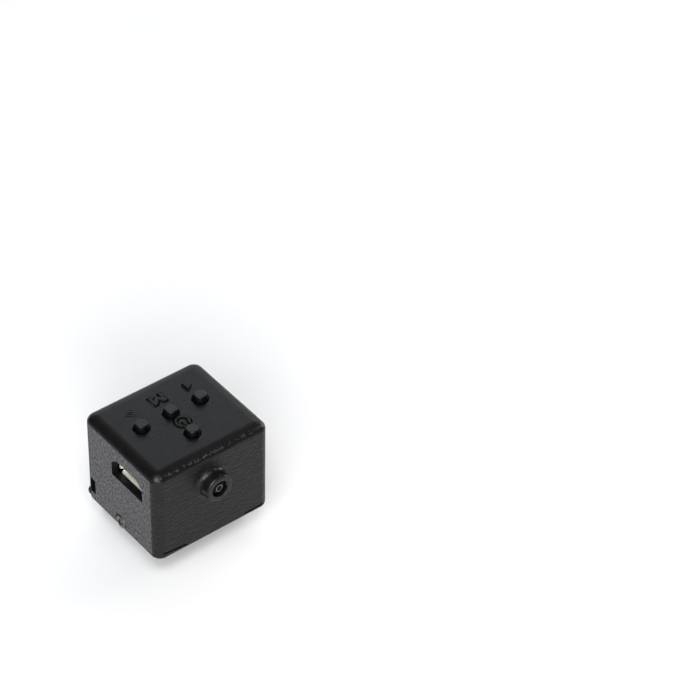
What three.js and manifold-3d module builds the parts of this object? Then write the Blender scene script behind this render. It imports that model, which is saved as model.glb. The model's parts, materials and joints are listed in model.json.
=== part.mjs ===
// A light meter that slides into a camera's accessory shoe.
// Millimetres, +Z up. The origin is the centre of the shoe foot's underside.
// -Y is the front, where the sensing barrel points; +Y is the user's side, with the screen.
// The body's own group has its underside at zero and its middle on the Z axis.

import * as THREE from "three";
import { mergeVertices } from "three/addons/utils/BufferGeometryUtils.js";
import Module from "manifold-3d";

const wasm = await Module();
wasm.setup();

// Facets of round forms
const quarterTurn = Math.PI / 2;
const fullTurn = 2 * Math.PI;
const cornerSteps = 8;
const filletSteps = 6;
const boreSides = 28;
const screwSides = 20;
const domeSides = 16;
const domeSteps = 3;
const pouchSteps = 3;
const wireSides = 8;
const wireSteps = 18;

// One overrun serves every cut, and one merging distance every closed mesh
const overrun = 0.5;
const mergeDistance = 0.0001;

// Clearances
const slideClearance = 0.1;
const seatGap = 0.05;
const threadClearance = 0.06;

// Casing, over its outside faces
const bodyWidth = 23;
const bodyDepth = 20.4;
const bodyHeight = 18.6;
const sideWall = 1.3;
const roofWall = 1.3;
const cornerRadius = 1.8;
const topFillet = 1.25;
const bottomFillet = 0.8;

// Accessory shoe foot
const footWidth = 18.4;
const footLength = 16;
const footThickness = 1.8;
const footLeadIn = 1.2;
const footEdgeBevel = 0.3;
const footSetback = 0.9;
const neckWidth = 12.2;
const neckHeight = 1.6;

// Foot screws
const footScrewRoom = 4.9;
const footScrewDiameter = 2;
const footScrewHeadDiameter = 3.8;
const footScrewHeadDepth = 1.1;
const footScrewLength = 5.9;
const footScrewRecess = 0.1;
const footBossDiameter = 4.2;
const footBossHeight = 1.7;

// Base plate, which closes the casing from below
const basePlateThickness = 1.5;
const basePlateCorner = 0.6;
const sideLugWidth = 5;
const sideLugDepth = 2.6;
const sideLugHeight = 3;

// Side screws, through the casing into the base plate's lugs
const sideScrewY = 0.2;
const sideScrewZ = 1.45;
const sideScrewDiameter = 1.4;
const sideScrewLength = 2.8;
const sideScrewHeadDiameter = 2.5;
const sideScrewHeadHeight = 0.9;
const sideScrewHeadDome = 0.25;
const sideScrewSeatDepth = 0.7;

// Cross recesses of the screw heads
const crossWidthShare = 0.14;
const crossLengthShare = 0.62;
const crossDepthShare = 0.5;

// Push buttons: three in a row and one in front of the middle one
const buttonPitch = 5.9;
const buttonRowY = 1.4;
const buttonDiameter = 2.1;
const buttonRise = 1.1;
const buttonEdge = 0.12;
const buttonTravel = 0.25;
const wellDiameter = 3;

// Tactile switches under the buttons
const switchWidth = 4.5;
const switchBaseHeight = 2.1;
const switchFloor = 0.5;
const switchCoverThickness = 0.2;
const switchCoverHole = 2.6;
const switchPocket = 3.7;
const stemFlangeDiameter = 3.3;
const stemFlangeThickness = 0.4;
const stemNubDiameter = 0.7;
const domeDiameter = 3.2;
const domeRise = 0.35;
const domeThickness = 0.1;
const domeGap = 0.05;

// Main board, which hangs from four posts under the roof
const boardDrop = 2.5;
const boardThickness = 1;
const boardClearance = 0.15;
const boardCorner = 0.5;
const postDiameter = 3.2;
const postWallOffset = 1.5;
const boardScrewDiameter = 1.4;
const boardScrewHeadDiameter = 2.4;
const boardScrewHeadHeight = 0.8;
const boardScrewGrip = 1.7;

// Charging socket behind the slot in the left wall
const slotLength = 8.5;
const slotHeight = 3.8;
const slotDrop = 2.8;
const slotCentreY = -2.05;
const slotBevelLength = 1.5;
const slotBevelHeight = 1.2;
const socketWidth = 7.5;
const socketHeight = 2.5;
const socketDepth = 5;
const socketSheet = 0.25;
const socketBevel = 0.95;
const socketLipFlare = 0.25;
const socketLipLength = 0.5;
const socketLipInset = 0.4;
const tongueWidth = 3.7;
const tongueThickness = 0.6;
const tongueLength = 3.4;
const insertThickness = 1.2;
const contactCount = 5;
const contactPitch = 0.65;
const contactWidth = 0.3;
const contactThickness = 0.1;
const contactLength = 2.6;

// Sensing barrel on the front wall
const barrelX = -0.4;
const barrelDrop = 1.45;
const barrelDiameter = 5.1;
const barrelLength = 2.4;
const barrelFlare = 1;
const barrelTipRound = 0.4;
const barrelBore = 3.1;
const lensSeatDepth = 1;
const lensEdge = 0.35;
const lensCrown = 0.4;
const sensorBore = 2.2;

// Sensor and its board
const sensorWidth = 2;
const sensorThickness = 0.7;
const sensorBoardWidth = 7;
const sensorBoardHeight = 5.6;
const sensorBoardThickness = 0.8;

// Strap eye round the rear left corner
const eyeFloor = 2.3;
const eyeHeight = 2.9;
const eyeMouth = 1.4;
const eyeBar = 1.35;
const eyeReach = 2.95;
const eyeWall = 0.9;
const beadRadius = 0.75;
const beadHeight = 1.7;
const beadProud = 0.4;
const beadFloor = 0.5;

// Screen in the rear wall
const viewSideBorder = 1.05;
const viewBorder = 1.7;
const viewCorner = 0.6;
const viewBevel = 0.4;
const paneMargin = 1;
const paneThickness = 0.6;
const paneRebate = 0.7;
const panelSideRoom = 2.95;
const panelFootroom = 1.1;
const panelHeadroom = 0.4;
const panelThickness = 1.3;
const panelGlass = 0.7;
const panelLedge = 1.6;
const flexThickness = 0.12;
const flexBend = 0.45;
const flexSideRoom = 0.5;
const displayPlugInset = 2.75;
const displayPlugDepth = 2.4;
const displayPlugHeight = 1.1;

// Battery
const cellEndRoom = 2.9;
const cellLeadRoom = 2.5;
const cellFrontRoom = 2.5;
const cellRearRoom = 3.1;
const cellHeadroom = 5.1;
const cellEdge = 1.2;
const padInset = 0.6;
const padThickness = 0.5;
const batteryPlugWidth = 4;
const batteryPlugDepth = 4;
const batteryPlugHeight = 2.5;
const batteryPlugRoom = 0.9;
const batteryPlugFrontRoom = 4.4;
const leadDiameter = 0.8;
const leadPitch = 1.6;
const leadBow = 0.9;

// Chips on the underside of the main board
const controllerWidth = 5;
const controllerHeight = 0.85;
const controllerX = 0.6;
const controllerRoom = 0.75;
const smallChipLength = 2.9;
const smallChipWidth = 1.6;
const smallChipHeight = 1.1;
const chargerRoom = 1.35;
const chargerRearRoom = 3.7;
const regulatorRoom = 2.8;
const regulatorGap = 1.65;
const capacitorLength = 2;
const capacitorWidth = 1.25;
const capacitorHeight = 0.9;
const capacitorRoom = 3;
const capacitorPitch = 2.2;
const capacitorFrontRoom = 2;

// Worked-out levels and faces, in the body's own group
const cavityWidth = bodyWidth - 2 * sideWall;
const cavityDepth = bodyDepth - 2 * sideWall;
const cavityCorner = cornerRadius - sideWall;
const roofUnderside = bodyHeight - roofWall;
const leftFace = -bodyWidth / 2;
const frontFace = -bodyDepth / 2;
const rearFace = bodyDepth / 2;
const frontInside = frontFace + sideWall;
const rearInside = rearFace - sideWall;
const leftInside = leftFace + sideWall;
const rightInside = -leftInside;
const bodyLift = footThickness + neckHeight;
const footScrewPitch = cavityDepth - 2 * footScrewRoom;
const plateWidth = cavityWidth - 2 * slideClearance;
const plateDepth = cavityDepth - 2 * slideClearance;
const boardTop = roofUnderside - boardDrop;
const boardBottom = boardTop - boardThickness;
const postX = cavityWidth / 2 - postWallOffset;
const postY = cavityDepth / 2 - postWallOffset;
const switchTop = boardTop + switchBaseHeight + switchCoverThickness;
const slotFloor = boardBottom - slotDrop;
const socketBottom = boardBottom - socketHeight;
const barrelZ = boardBottom - barrelDrop;

// Screen, between the base plate and the board
const panelWidth = cavityWidth - 2 * panelSideRoom;
const panelBottom = basePlateThickness + panelFootroom;
const panelHeight = boardBottom - panelHeadroom - panelBottom;
const panelBack = rearInside - panelThickness;
const screenCentreZ = panelBottom + panelHeight / 2;
const viewWidth = panelWidth - 2 * viewSideBorder;
const viewHeight = panelHeight - 2 * viewBorder;
const displayPlugWidth = panelWidth - 2 * displayPlugInset;
const displayPlugRear = panelBack - 3 * flexBend;
const displayPlugFront = displayPlugRear - displayPlugDepth;
const flexWidth = displayPlugWidth - 2 * flexSideRoom;

// Battery, and places of the chips
const padBottom = basePlateThickness + footBossHeight;
const cellBottom = padBottom + padThickness;
const cellLength = cavityWidth - cellEndRoom - cellLeadRoom;
const cellDepth = cavityDepth - cellFrontRoom - cellRearRoom;
const cellHeight = boardBottom - cellHeadroom - cellBottom;
const cellCentreX = (cellEndRoom - cellLeadRoom) / 2;
const cellCentreY = (cellFrontRoom - cellRearRoom) / 2;
const batteryPlugX = rightInside - batteryPlugRoom - batteryPlugWidth / 2;
const batteryPlugY = frontInside + batteryPlugFrontRoom + batteryPlugDepth / 2;
const controllerY = displayPlugFront - controllerRoom - controllerWidth / 2;
const chargerX = leftInside + chargerRoom + smallChipLength / 2;
const chargerY = rearInside - chargerRearRoom - smallChipWidth / 2;
const regulatorX = rightInside - regulatorRoom - smallChipWidth / 2;
const regulatorY = batteryPlugY + (batteryPlugDepth + smallChipLength) / 2 + regulatorGap;
const capacitorX = rightInside - capacitorRoom - capacitorWidth / 2;
const capacitorY = frontInside + capacitorFrontRoom + capacitorLength / 2;

const buttonPlaces = [
  { name: "left", x: -buttonPitch, y: buttonRowY },
  { name: "menu", x: 0, y: buttonRowY },
  { name: "right", x: buttonPitch, y: buttonRowY },
  { name: "power", x: 0, y: buttonRowY - buttonPitch },
];
const postPlaces = [
  { x: postX, y: -postY, drilled: true },
  { x: -postX, y: postY, drilled: true },
  { x: -postX, y: -postY, drilled: false },
  { x: postX, y: postY, drilled: false },
];

// Solids and meshes

function toSolid(geometry) {
  const bare = geometry.clone();
  bare.deleteAttribute("normal");
  bare.deleteAttribute("uv");
  const merged = mergeVertices(bare, mergeDistance);
  const vertProperties = merged.attributes.position.array;
  const triVerts = new Uint32Array(merged.index.array);
  return new wasm.Manifold(new wasm.Mesh({ numProp: 3, vertProperties, triVerts }));
}

function toGeometry(solid) {
  const mesh = solid.getMesh();
  const geometry = new THREE.BufferGeometry();
  geometry.setAttribute("position", new THREE.BufferAttribute(mesh.vertProperties, 3));
  geometry.setIndex(new THREE.BufferAttribute(mesh.triVerts, 1));
  geometry.computeVertexNormals();
  return geometry;
}

function joined(solids) {
  return solids.reduce((sum, solid) => sum.add(solid));
}

function cut(solid, tools) {
  return tools.reduce((rest, tool) => rest.subtract(tool), solid);
}

// A box between two corners
function slab(low, high) {
  const size = high.map((value, axis) => value - low[axis]);
  const geometry = new THREE.BoxGeometry(...size);
  geometry.translate(...high.map((value, axis) => (value + low[axis]) / 2));
  return toSolid(geometry);
}

// A box centred on x and y, standing on z
function standingBox(width, depth, height, x, y, z) {
  return slab([x - width / 2, y - depth / 2, z], [x + width / 2, y + depth / 2, z + height]);
}

// A round solid whose profile of [radius, height] pairs turns about +Z
function turned(profile, sides) {
  const points = profile.map(([radius, height]) => new THREE.Vector2(radius, height));
  const geometry = new THREE.LatheGeometry(points, sides);
  geometry.rotateX(quarterTurn);
  return geometry;
}

function rod(diameter, bottom, top, sides) {
  const radius = diameter / 2;
  return turned([[0, bottom], [radius, bottom], [radius, top], [0, top]], sides);
}

// An upright round rod at x and y
function post(diameter, x, y, bottom, top, sides = boreSides) {
  const geometry = rod(diameter, bottom, top, sides);
  geometry.translate(x, y, 0);
  return toSolid(geometry);
}

// The points of a rounded rectangle at one height
function roundedRing(width, depth, radius, z, steps = cornerSteps) {
  const ring = [];
  for (let corner = 0; corner < 4; corner += 1) {
    const right = corner === 0 || corner === 3 ? 1 : -1;
    const rear = corner < 2 ? 1 : -1;
    for (let step = 0; step <= steps; step += 1) {
      const turn = (corner + step / steps) * quarterTurn;
      const x = right * (width / 2 - radius) + radius * Math.cos(turn);
      const y = rear * (depth / 2 - radius) + radius * Math.sin(turn);
      ring.push([x, y, z]);
    }
  }
  return ring;
}

// A closed skin over rings of equal counts, with flat ends
function loft(rings) {
  const count = rings[0].length;
  const faces = [];
  for (let level = 0; level + 1 < rings.length; level += 1) {
    for (let step = 0; step < count; step += 1) {
      const next = (step + 1) % count;
      const low = level * count;
      const high = low + count;
      faces.push(low + step, low + next, high + next);
      faces.push(low + step, high + next, high + step);
    }
  }
  const last = (rings.length - 1) * count;
  for (let step = 1; step + 1 < count; step += 1) {
    faces.push(0, step + 1, step);
    faces.push(last, last + step, last + step + 1);
  }
  const geometry = new THREE.BufferGeometry();
  geometry.setAttribute("position", new THREE.Float32BufferAttribute(rings.flat(2), 3));
  geometry.setIndex(faces);
  return geometry;
}

function roundedPrism(width, depth, radius, bottom, top) {
  return loft([roundedRing(width, depth, radius, bottom), roundedRing(width, depth, radius, top)]);
}

// A block with round upright edges and its own fillet above and below
function filletedBlock(size, radius, above, below, around = cornerSteps, over = filletSteps) {
  const [width, depth, height] = size;
  const rings = [];
  const ring = (inset, z) =>
    rings.push(roundedRing(width - 2 * inset, depth - 2 * inset, radius - inset, z, around));
  for (let step = 0; step <= over; step += 1) {
    const turn = (step / over) * quarterTurn;
    ring(below * (1 - Math.sin(turn)), below * (1 - Math.cos(turn)));
  }
  for (let step = 0; step <= over; step += 1) {
    const turn = (step / over) * quarterTurn;
    ring(above * (1 - Math.cos(turn)), height - above * (1 - Math.sin(turn)));
  }
  return loft(rings);
}

// An outline of [y, z] pairs, drawn out along +X from one x to another
function drawnAlongX(outline, from, to, hole = null) {
  const shape = new THREE.Shape(outline.map(([y, z]) => new THREE.Vector2(y, z)));
  if (hole) {
    shape.holes.push(new THREE.Path(hole.map(([y, z]) => new THREE.Vector2(y, z))));
  }
  const geometry = new THREE.ExtrudeGeometry(shape, { depth: to - from, bevelEnabled: false });
  geometry.rotateX(quarterTurn);
  geometry.rotateZ(quarterTurn);
  geometry.translate(from, 0, 0);
  return toSolid(geometry);
}

// Turns an upright geometry so that its +Z points to the front, the rear or the left
function facingFront(geometry) {
  return geometry.rotateX(quarterTurn);
}

function facingRear(geometry) {
  return geometry.rotateX(-quarterTurn);
}

function facingSide(geometry, side) {
  return geometry.rotateY(side * quarterTurn);
}

// A screw with its head's top at zero and its tip at -length
function screwSolid(headProfile, headDiameter, headHeight, diameter, length) {
  const body = turned([[0, -length], [diameter / 2, -length], ...headProfile], screwSides);
  const arm = headDiameter * crossLengthShare;
  const blade = headDiameter * crossWidthShare;
  const depth = headHeight * crossDepthShare;
  const across = standingBox(arm, blade, depth + overrun, 0, 0, -depth);
  const along = standingBox(blade, arm, depth + overrun, 0, 0, -depth);
  return cut(toSolid(body), [across, along]);
}

function panScrew(headDiameter, headHeight, dome, diameter, length) {
  const radius = headDiameter / 2;
  const profile = [[diameter / 2, -headHeight], [radius, -headHeight], [radius, -dome]];
  for (let step = 1; step <= filletSteps; step += 1) {
    const turn = (step / filletSteps) * quarterTurn;
    const drop = dome * (1 - Math.sin(turn));
    profile.push([step === filletSteps ? 0 : radius * Math.cos(turn), -drop]);
  }
  return screwSolid(profile, headDiameter, headHeight, diameter, length);
}

function countersunkScrew(headDiameter, headHeight, diameter, length) {
  const radius = headDiameter / 2;
  const profile = [[diameter / 2, -headHeight], [radius, 0], [0, 0]];
  return screwSolid(profile, headDiameter, headHeight, diameter, length);
}

// Casing

function barrelOutside() {
  const radius = barrelDiameter / 2;
  const profile = [[0, -sideWall], [radius + barrelFlare, -sideWall]];
  for (let step = 0; step <= filletSteps; step += 1) {
    const turn = (step / filletSteps) * quarterTurn;
    const away = barrelFlare * (1 - Math.sin(turn));
    profile.push([radius + away, barrelFlare * (1 - Math.cos(turn))]);
  }
  for (let step = 0; step <= filletSteps; step += 1) {
    const turn = (step / filletSteps) * quarterTurn;
    const inset = barrelTipRound * (1 - Math.cos(turn));
    profile.push([radius - inset, barrelLength - barrelTipRound * (1 - Math.sin(turn))]);
  }
  profile.push([0, barrelLength]);
  const geometry = facingFront(turned(profile, boreSides + cornerSteps));
  geometry.translate(barrelX, frontFace, barrelZ);
  return toSolid(geometry);
}

function barrelBores() {
  const wide = facingFront(rod(barrelBore, barrelLength - lensSeatDepth, barrelLength + overrun, boreSides));
  const narrow = facingFront(rod(sensorBore, -sideWall - overrun, barrelLength, boreSides));
  return [wide, narrow].map((geometry) => {
    geometry.translate(barrelX, frontFace, barrelZ);
    return toSolid(geometry);
  });
}

function slotTool() {
  const rear = slotCentreY + slotLength / 2;
  const front = slotCentreY - slotLength / 2;
  const top = slotFloor + slotHeight;
  const outline = [
    [front, slotFloor],
    [rear, slotFloor],
    [rear, top - slotBevelHeight],
    [rear - slotBevelLength, top],
    [front + slotBevelLength, top],
    [front, top - slotBevelHeight],
  ];
  return drawnAlongX(outline, leftFace - overrun, leftInside + overrun);
}

function sideScrewTools(side) {
  const seat = rod(sideScrewHeadDiameter + 4 * slideClearance, -sideScrewSeatDepth, overrun, boreSides);
  const hole = rod(sideScrewDiameter + 4 * threadClearance, -sideWall - overrun, overrun, screwSides);
  return [seat, hole].map((geometry) => {
    facingSide(geometry, side).translate(side * bodyWidth / 2, sideScrewY, sideScrewZ);
    return toSolid(geometry);
  });
}

// The strap eye is a bar between two mouths, one in the left wall and one in the rear wall
function eyeBlock() {
  const low = [leftFace + eyeWall, rearFace - eyeBar - eyeMouth - eyeWall, eyeFloor - eyeWall];
  const high = [leftFace + eyeReach + eyeWall, rearFace - eyeWall, eyeFloor + eyeHeight + eyeWall];
  low[2] = Math.max(low[2], basePlateThickness + slideClearance);
  return slab(low, high);
}

function eyeTools() {
  const inner = rearFace - eyeBar - eyeMouth;
  const top = eyeFloor + eyeHeight;
  const reach = leftFace + eyeReach;
  const fromLeft = slab([leftFace - overrun, inner, eyeFloor], [reach, inner + eyeMouth, top]);
  const fromRear = slab([reach - eyeMouth, inner, eyeFloor], [reach, rearFace + overrun, top]);
  return [fromLeft, fromRear];
}

// A short bead on the corner under the eye
function eyeBead() {
  const reach = cornerRadius + beadProud - beadRadius;
  const profile = [[0, 0]];
  for (let step = 1; step <= filletSteps; step += 1) {
    const turn = (step / filletSteps) * quarterTurn;
    profile.push([beadRadius * Math.sin(turn), beadRadius * (1 - Math.cos(turn))]);
  }
  for (let step = 0; step < filletSteps; step += 1) {
    const turn = (step / filletSteps) * quarterTurn;
    profile.push([beadRadius * Math.cos(turn), beadHeight - beadRadius * (1 - Math.sin(turn))]);
  }
  profile.push([0, beadHeight]);
  const geometry = turned(profile, screwSides);
  const diagonal = quarterTurn / 2;
  const x = leftFace + cornerRadius - reach * Math.cos(diagonal);
  const y = rearFace - cornerRadius + reach * Math.sin(diagonal);
  geometry.translate(x, y, beadFloor);
  return toSolid(geometry);
}

function viewTools() {
  const window = roundedPrism(viewWidth, viewHeight, viewCorner, -sideWall - overrun, overrun);
  const bevel = loft([
    roundedRing(viewWidth, viewHeight, viewCorner, -viewBevel),
    roundedRing(viewWidth + 2 * viewBevel, viewHeight + 2 * viewBevel, viewCorner + viewBevel, 0),
    roundedRing(viewWidth + 2 * viewBevel, viewHeight + 2 * viewBevel, viewCorner + viewBevel, overrun),
  ]);
  const width = viewWidth + 2 * paneMargin + 2 * slideClearance;
  const height = viewHeight + 2 * paneMargin + 2 * slideClearance;
  const rebate = roundedPrism(width, height, viewCorner, -sideWall - overrun, paneRebate - sideWall);
  return [window, bevel, rebate].map((geometry) => {
    facingRear(geometry).translate(0, rearFace, screenCentreZ);
    return toSolid(geometry);
  });
}

function roofPosts() {
  return postPlaces.map(({ x, y }) => post(postDiameter, x, y, boardTop, roofUnderside + roofWall / 2));
}

function postDrillings() {
  const diameter = boardScrewDiameter + 2 * threadClearance;
  const depth = boardScrewGrip + slideClearance;
  return postPlaces
    .filter(({ drilled }) => drilled)
    .map(({ x, y }) => post(diameter, x, y, boardTop - overrun, boardTop + depth, screwSides));
}

function housingSolid() {
  const size = [bodyWidth, bodyDepth, bodyHeight];
  const outside = filletedBlock(size, cornerRadius, topFillet, bottomFillet);
  const cavity = roundedPrism(cavityWidth, cavityDepth, cavityCorner, -overrun, roofUnderside);
  const wells = buttonPlaces.map(({ x, y }) =>
    post(wellDiameter, x, y, roofUnderside - overrun, bodyHeight + overrun));
  const shell = toSolid(outside).subtract(toSolid(cavity));
  const solid = joined([shell, barrelOutside(), eyeBlock(), eyeBead(), ...roofPosts()]);
  const tools = [
    ...wells,
    ...barrelBores(),
    slotTool(),
    ...sideScrewTools(-1),
    ...sideScrewTools(1),
    ...eyeTools(),
    ...viewTools(),
    ...postDrillings(),
  ];
  return cut(solid, tools);
}

// Base plate and foot

function footScrewPlaces() {
  return [-1, 1].map((end) => footSetback + (end * footScrewPitch) / 2);
}

function basePlateSolid() {
  const corner = basePlateCorner;
  const plate = toSolid(roundedPrism(plateWidth, plateDepth, corner, 0, basePlateThickness));
  const lugX = (plateWidth - sideLugDepth) / 2;
  const lugs = [-1, 1].map((side) =>
    standingBox(sideLugDepth, sideLugWidth, sideLugHeight, side * lugX, sideScrewY, 0));
  const bosses = footScrewPlaces().map((y) => post(footBossDiameter, 0, y, 0, padBottom));
  const holes = footScrewPlaces().map((y) =>
    post(footScrewDiameter + 2 * threadClearance, 0, y, -overrun, padBottom + overrun, screwSides));
  const lugHoles = [-1, 1].map((side) => {
    const depth = sideScrewLength - slideClearance + overrun;
    const hole = rod(sideScrewDiameter + 2 * threadClearance, -depth, overrun, screwSides);
    facingSide(hole, side).translate(side * plateWidth / 2, sideScrewY, sideScrewZ);
    return toSolid(hole);
  });
  return cut(joined([plate, ...lugs, ...bosses]), [...holes, ...lugHoles]);
}

// The foot's plate has lead-in corners at the front and bevelled edges all round its underside
function footOutline(inset) {
  const side = footWidth / 2 - inset;
  const front = footLength / 2 - inset;
  const lead = footLeadIn;
  return [
    [side, lead - front],
    [side, front],
    [-side, front],
    [-side, lead - front],
    [lead - side, -front],
    [side - lead, -front],
  ];
}

function footSolid() {
  const level = (inset, z) => footOutline(inset).map(([x, y]) => [x, y, z]);
  const plate = toSolid(loft([
    level(footEdgeBevel, 0),
    level(0, footEdgeBevel),
    level(0, footThickness),
  ]));
  const neck = standingBox(neckWidth, footLength, bodyLift, 0, 0, 0)
    .subtract(slab([-footWidth, -footLength, -overrun], [footWidth, footLength, footThickness / 2]));
  const clear = seatGap + footScrewHeadDiameter / 2;
  const coneTop = footScrewRecess + footScrewHeadDepth;
  const shank = footScrewDiameter / 2 + threadClearance;
  const tools = footScrewPlaces().map((y) => {
    const sink = turned([
      [0, -overrun],
      [clear, -overrun],
      [clear, footScrewRecess],
      [shank, coneTop],
      [shank, bodyLift + overrun],
      [0, bodyLift + overrun],
    ], screwSides);
    sink.translate(0, y - footSetback, 0);
    return toSolid(sink);
  });
  return cut(plate.add(neck), tools);
}

function footScrewGeometry(y) {
  const solid = countersunkScrew(
    footScrewHeadDiameter,
    footScrewHeadDepth,
    footScrewDiameter,
    footScrewLength,
  );
  const geometry = toGeometry(solid);
  geometry.rotateX(2 * quarterTurn);
  geometry.translate(0, y - footSetback, footScrewRecess);
  return geometry;
}

function sideScrewGeometry(side) {
  const solid = panScrew(
    sideScrewHeadDiameter,
    sideScrewHeadHeight,
    sideScrewHeadDome,
    sideScrewDiameter,
    sideScrewHeadHeight + sideScrewLength,
  );
  const headTop = bodyWidth / 2 - sideScrewSeatDepth + sideScrewHeadHeight + seatGap;
  return facingSide(toGeometry(solid), side).translate(side * headTop, sideScrewY, sideScrewZ);
}

// Main board and what hangs on it

function mainBoardSolid() {
  const width = cavityWidth - 2 * boardClearance;
  const depth = cavityDepth - 2 * boardClearance;
  const board = toSolid(roundedPrism(width, depth, boardCorner, boardBottom, boardTop));
  const holes = postPlaces
    .filter(({ drilled }) => drilled)
    .map(({ x, y }) => post(
      boardScrewDiameter + 2 * slideClearance,
      x,
      y,
      boardBottom - overrun,
      boardTop + overrun,
      screwSides,
    ));
  return cut(board, holes);
}

function boardScrewGeometry({ x, y }) {
  const solid = panScrew(
    boardScrewHeadDiameter,
    boardScrewHeadHeight,
    boardScrewHeadHeight / 2,
    boardScrewDiameter,
    boardScrewHeadHeight + boardThickness + boardScrewGrip,
  );
  const geometry = toGeometry(solid);
  geometry.rotateX(2 * quarterTurn);
  geometry.translate(x, y, boardBottom - boardScrewHeadHeight);
  return geometry;
}

function switchBaseSolid({ x, y }) {
  const outside = standingBox(switchWidth, switchWidth, switchBaseHeight, x, y, boardTop);
  const top = boardTop + switchBaseHeight + overrun;
  return outside.subtract(post(switchPocket, x, y, boardTop + switchFloor, top));
}

function switchCoverSolid({ x, y }) {
  const bottom = boardTop + switchBaseHeight;
  const cover = standingBox(switchWidth, switchWidth, switchCoverThickness, x, y, bottom);
  return cover.subtract(post(switchCoverHole, x, y, bottom - overrun, switchTop + overrun));
}

// A shallow snap dome: the space between two arcs of one centre
function domeSolid({ x, y }) {
  const half = domeDiameter / 2;
  const sphere = (half * half + domeRise * domeRise) / (2 * domeRise);
  const spread = Math.asin(half / sphere);
  const centre = boardTop + switchFloor + domeRise - sphere;
  const arc = (radius, from, to) => {
    const points = [];
    for (let step = 0; step <= domeSteps; step += 1) {
      const turn = from + ((to - from) * step) / domeSteps;
      points.push([turn === 0 ? 0 : radius * Math.sin(turn), centre + radius * Math.cos(turn)]);
    }
    return points;
  };
  const profile = [...arc(sphere, 0, spread), ...arc(sphere + domeThickness, spread, 0)];
  const geometry = turned(profile, domeSides);
  geometry.translate(x, y, 0);
  return toSolid(geometry);
}

function buttonSolid({ x, y }) {
  const radius = buttonDiameter / 2;
  const top = bodyHeight + buttonRise;
  const flangeTop = boardTop + switchBaseHeight - seatGap;
  const flangeBottom = flangeTop - stemFlangeThickness;
  const domeTop = boardTop + switchFloor + domeRise + domeThickness;
  const nubBottom = domeTop + buttonTravel + domeGap;
  const nub = stemNubDiameter / 2;
  const flange = stemFlangeDiameter / 2;
  const geometry = turned([
    [0, nubBottom],
    [nub, nubBottom],
    [nub, flangeBottom],
    [flange, flangeBottom],
    [flange, flangeTop],
    [radius, flangeTop],
    [radius, top - buttonEdge],
    [radius - buttonEdge, top],
    [0, top],
  ], boreSides);
  geometry.translate(x, y, 0);
  return toSolid(geometry);
}

// Charging socket: a folded sheet sleeve, wide side down, with flared lips

function socketOutline(inset) {
  const half = socketWidth / 2 - inset;
  const bottom = socketBottom + inset;
  const top = boardBottom - inset;
  const bevel = socketBevel - inset / 2;
  return [
    [slotCentreY - half, bottom],
    [slotCentreY + half, bottom],
    [slotCentreY + half, top - bevel],
    [slotCentreY + half - bevel, top],
    [slotCentreY - half + bevel, top],
    [slotCentreY - half, top - bevel],
  ];
}

function socketFront() {
  return leftInside + slideClearance;
}

function socketBottomLip() {
  const front = socketFront();
  const half = socketWidth / 2 - socketLipInset;
  const ring = (x, rise) => [
    [x, slotCentreY - half, socketBottom + rise],
    [x, slotCentreY + half, socketBottom + rise],
    [x, slotCentreY + half, socketBottom + rise + socketSheet],
    [x, slotCentreY - half, socketBottom + rise + socketSheet],
  ];
  return toSolid(loft([ring(front, -socketLipFlare), ring(front + socketLipLength, 0)]));
}

function socketRearLip() {
  const front = socketFront();
  const low = socketBottom + socketLipInset;
  const high = boardBottom - socketBevel;
  const ring = (x, spread) => {
    const outside = slotCentreY + socketWidth / 2 + spread;
    return [
      [x, outside - socketSheet, low],
      [x, outside, low],
      [x, outside, high],
      [x, outside - socketSheet, high],
    ];
  };
  return toSolid(loft([ring(front, socketLipFlare), ring(front + socketLipLength, 0)]));
}

function socketShellSolid() {
  const front = socketFront();
  const rear = front + socketDepth;
  const sleeve = drawnAlongX(socketOutline(0), front + socketLipLength, rear, socketOutline(socketSheet));
  const rearLip = socketRearLip();
  const frontLip = rearLip.mirror([0, 1, 0]).translate([0, 2 * slotCentreY, 0]);
  return joined([sleeve, socketBottomLip(), rearLip, frontLip]);
}

function tongueBottom() {
  return socketBottom + (socketHeight - tongueThickness) / 2;
}

function socketInsertSolid() {
  const rear = socketFront() + socketDepth;
  const inset = socketSheet + seatGap;
  const wall = drawnAlongX(socketOutline(inset), rear - insertThickness, rear);
  const low = [rear - insertThickness - tongueLength, slotCentreY - tongueWidth / 2, tongueBottom()];
  const high = [rear - insertThickness / 2, slotCentreY + tongueWidth / 2, tongueBottom() + tongueThickness];
  return wall.add(slab(low, high));
}

function contactSolid(index) {
  const y = slotCentreY + (index - (contactCount - 1) / 2) * contactPitch;
  const rear = socketFront() + socketDepth - insertThickness;
  const low = [rear - contactLength, y - contactWidth / 2, tongueBottom() - contactThickness];
  const high = [rear, y + contactWidth / 2, tongueBottom()];
  return slab(low, high);
}

// Lens, sensor and sensor board

function lensSolid() {
  const radius = barrelBore / 2 - slideClearance;
  const sphere = (radius * radius + lensCrown * lensCrown) / (2 * lensCrown);
  const spread = Math.asin(radius / sphere);
  const profile = [[0, 0], [radius, 0]];
  for (let step = 0; step <= filletSteps; step += 1) {
    const turn = spread * (1 - step / filletSteps);
    const height = lensEdge + lensCrown - sphere + sphere * Math.cos(turn);
    profile.push([step === filletSteps ? 0 : sphere * Math.sin(turn), height]);
  }
  const geometry = facingFront(turned(profile, boreSides));
  geometry.translate(barrelX, frontFace - barrelLength + lensSeatDepth - seatGap, barrelZ);
  return toSolid(geometry);
}

function sensorSolid() {
  const front = frontInside + slideClearance;
  const low = [barrelX - sensorWidth / 2, front, barrelZ - sensorWidth / 2];
  const high = [barrelX + sensorWidth / 2, front + sensorThickness, barrelZ + sensorWidth / 2];
  return slab(low, high);
}

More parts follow.
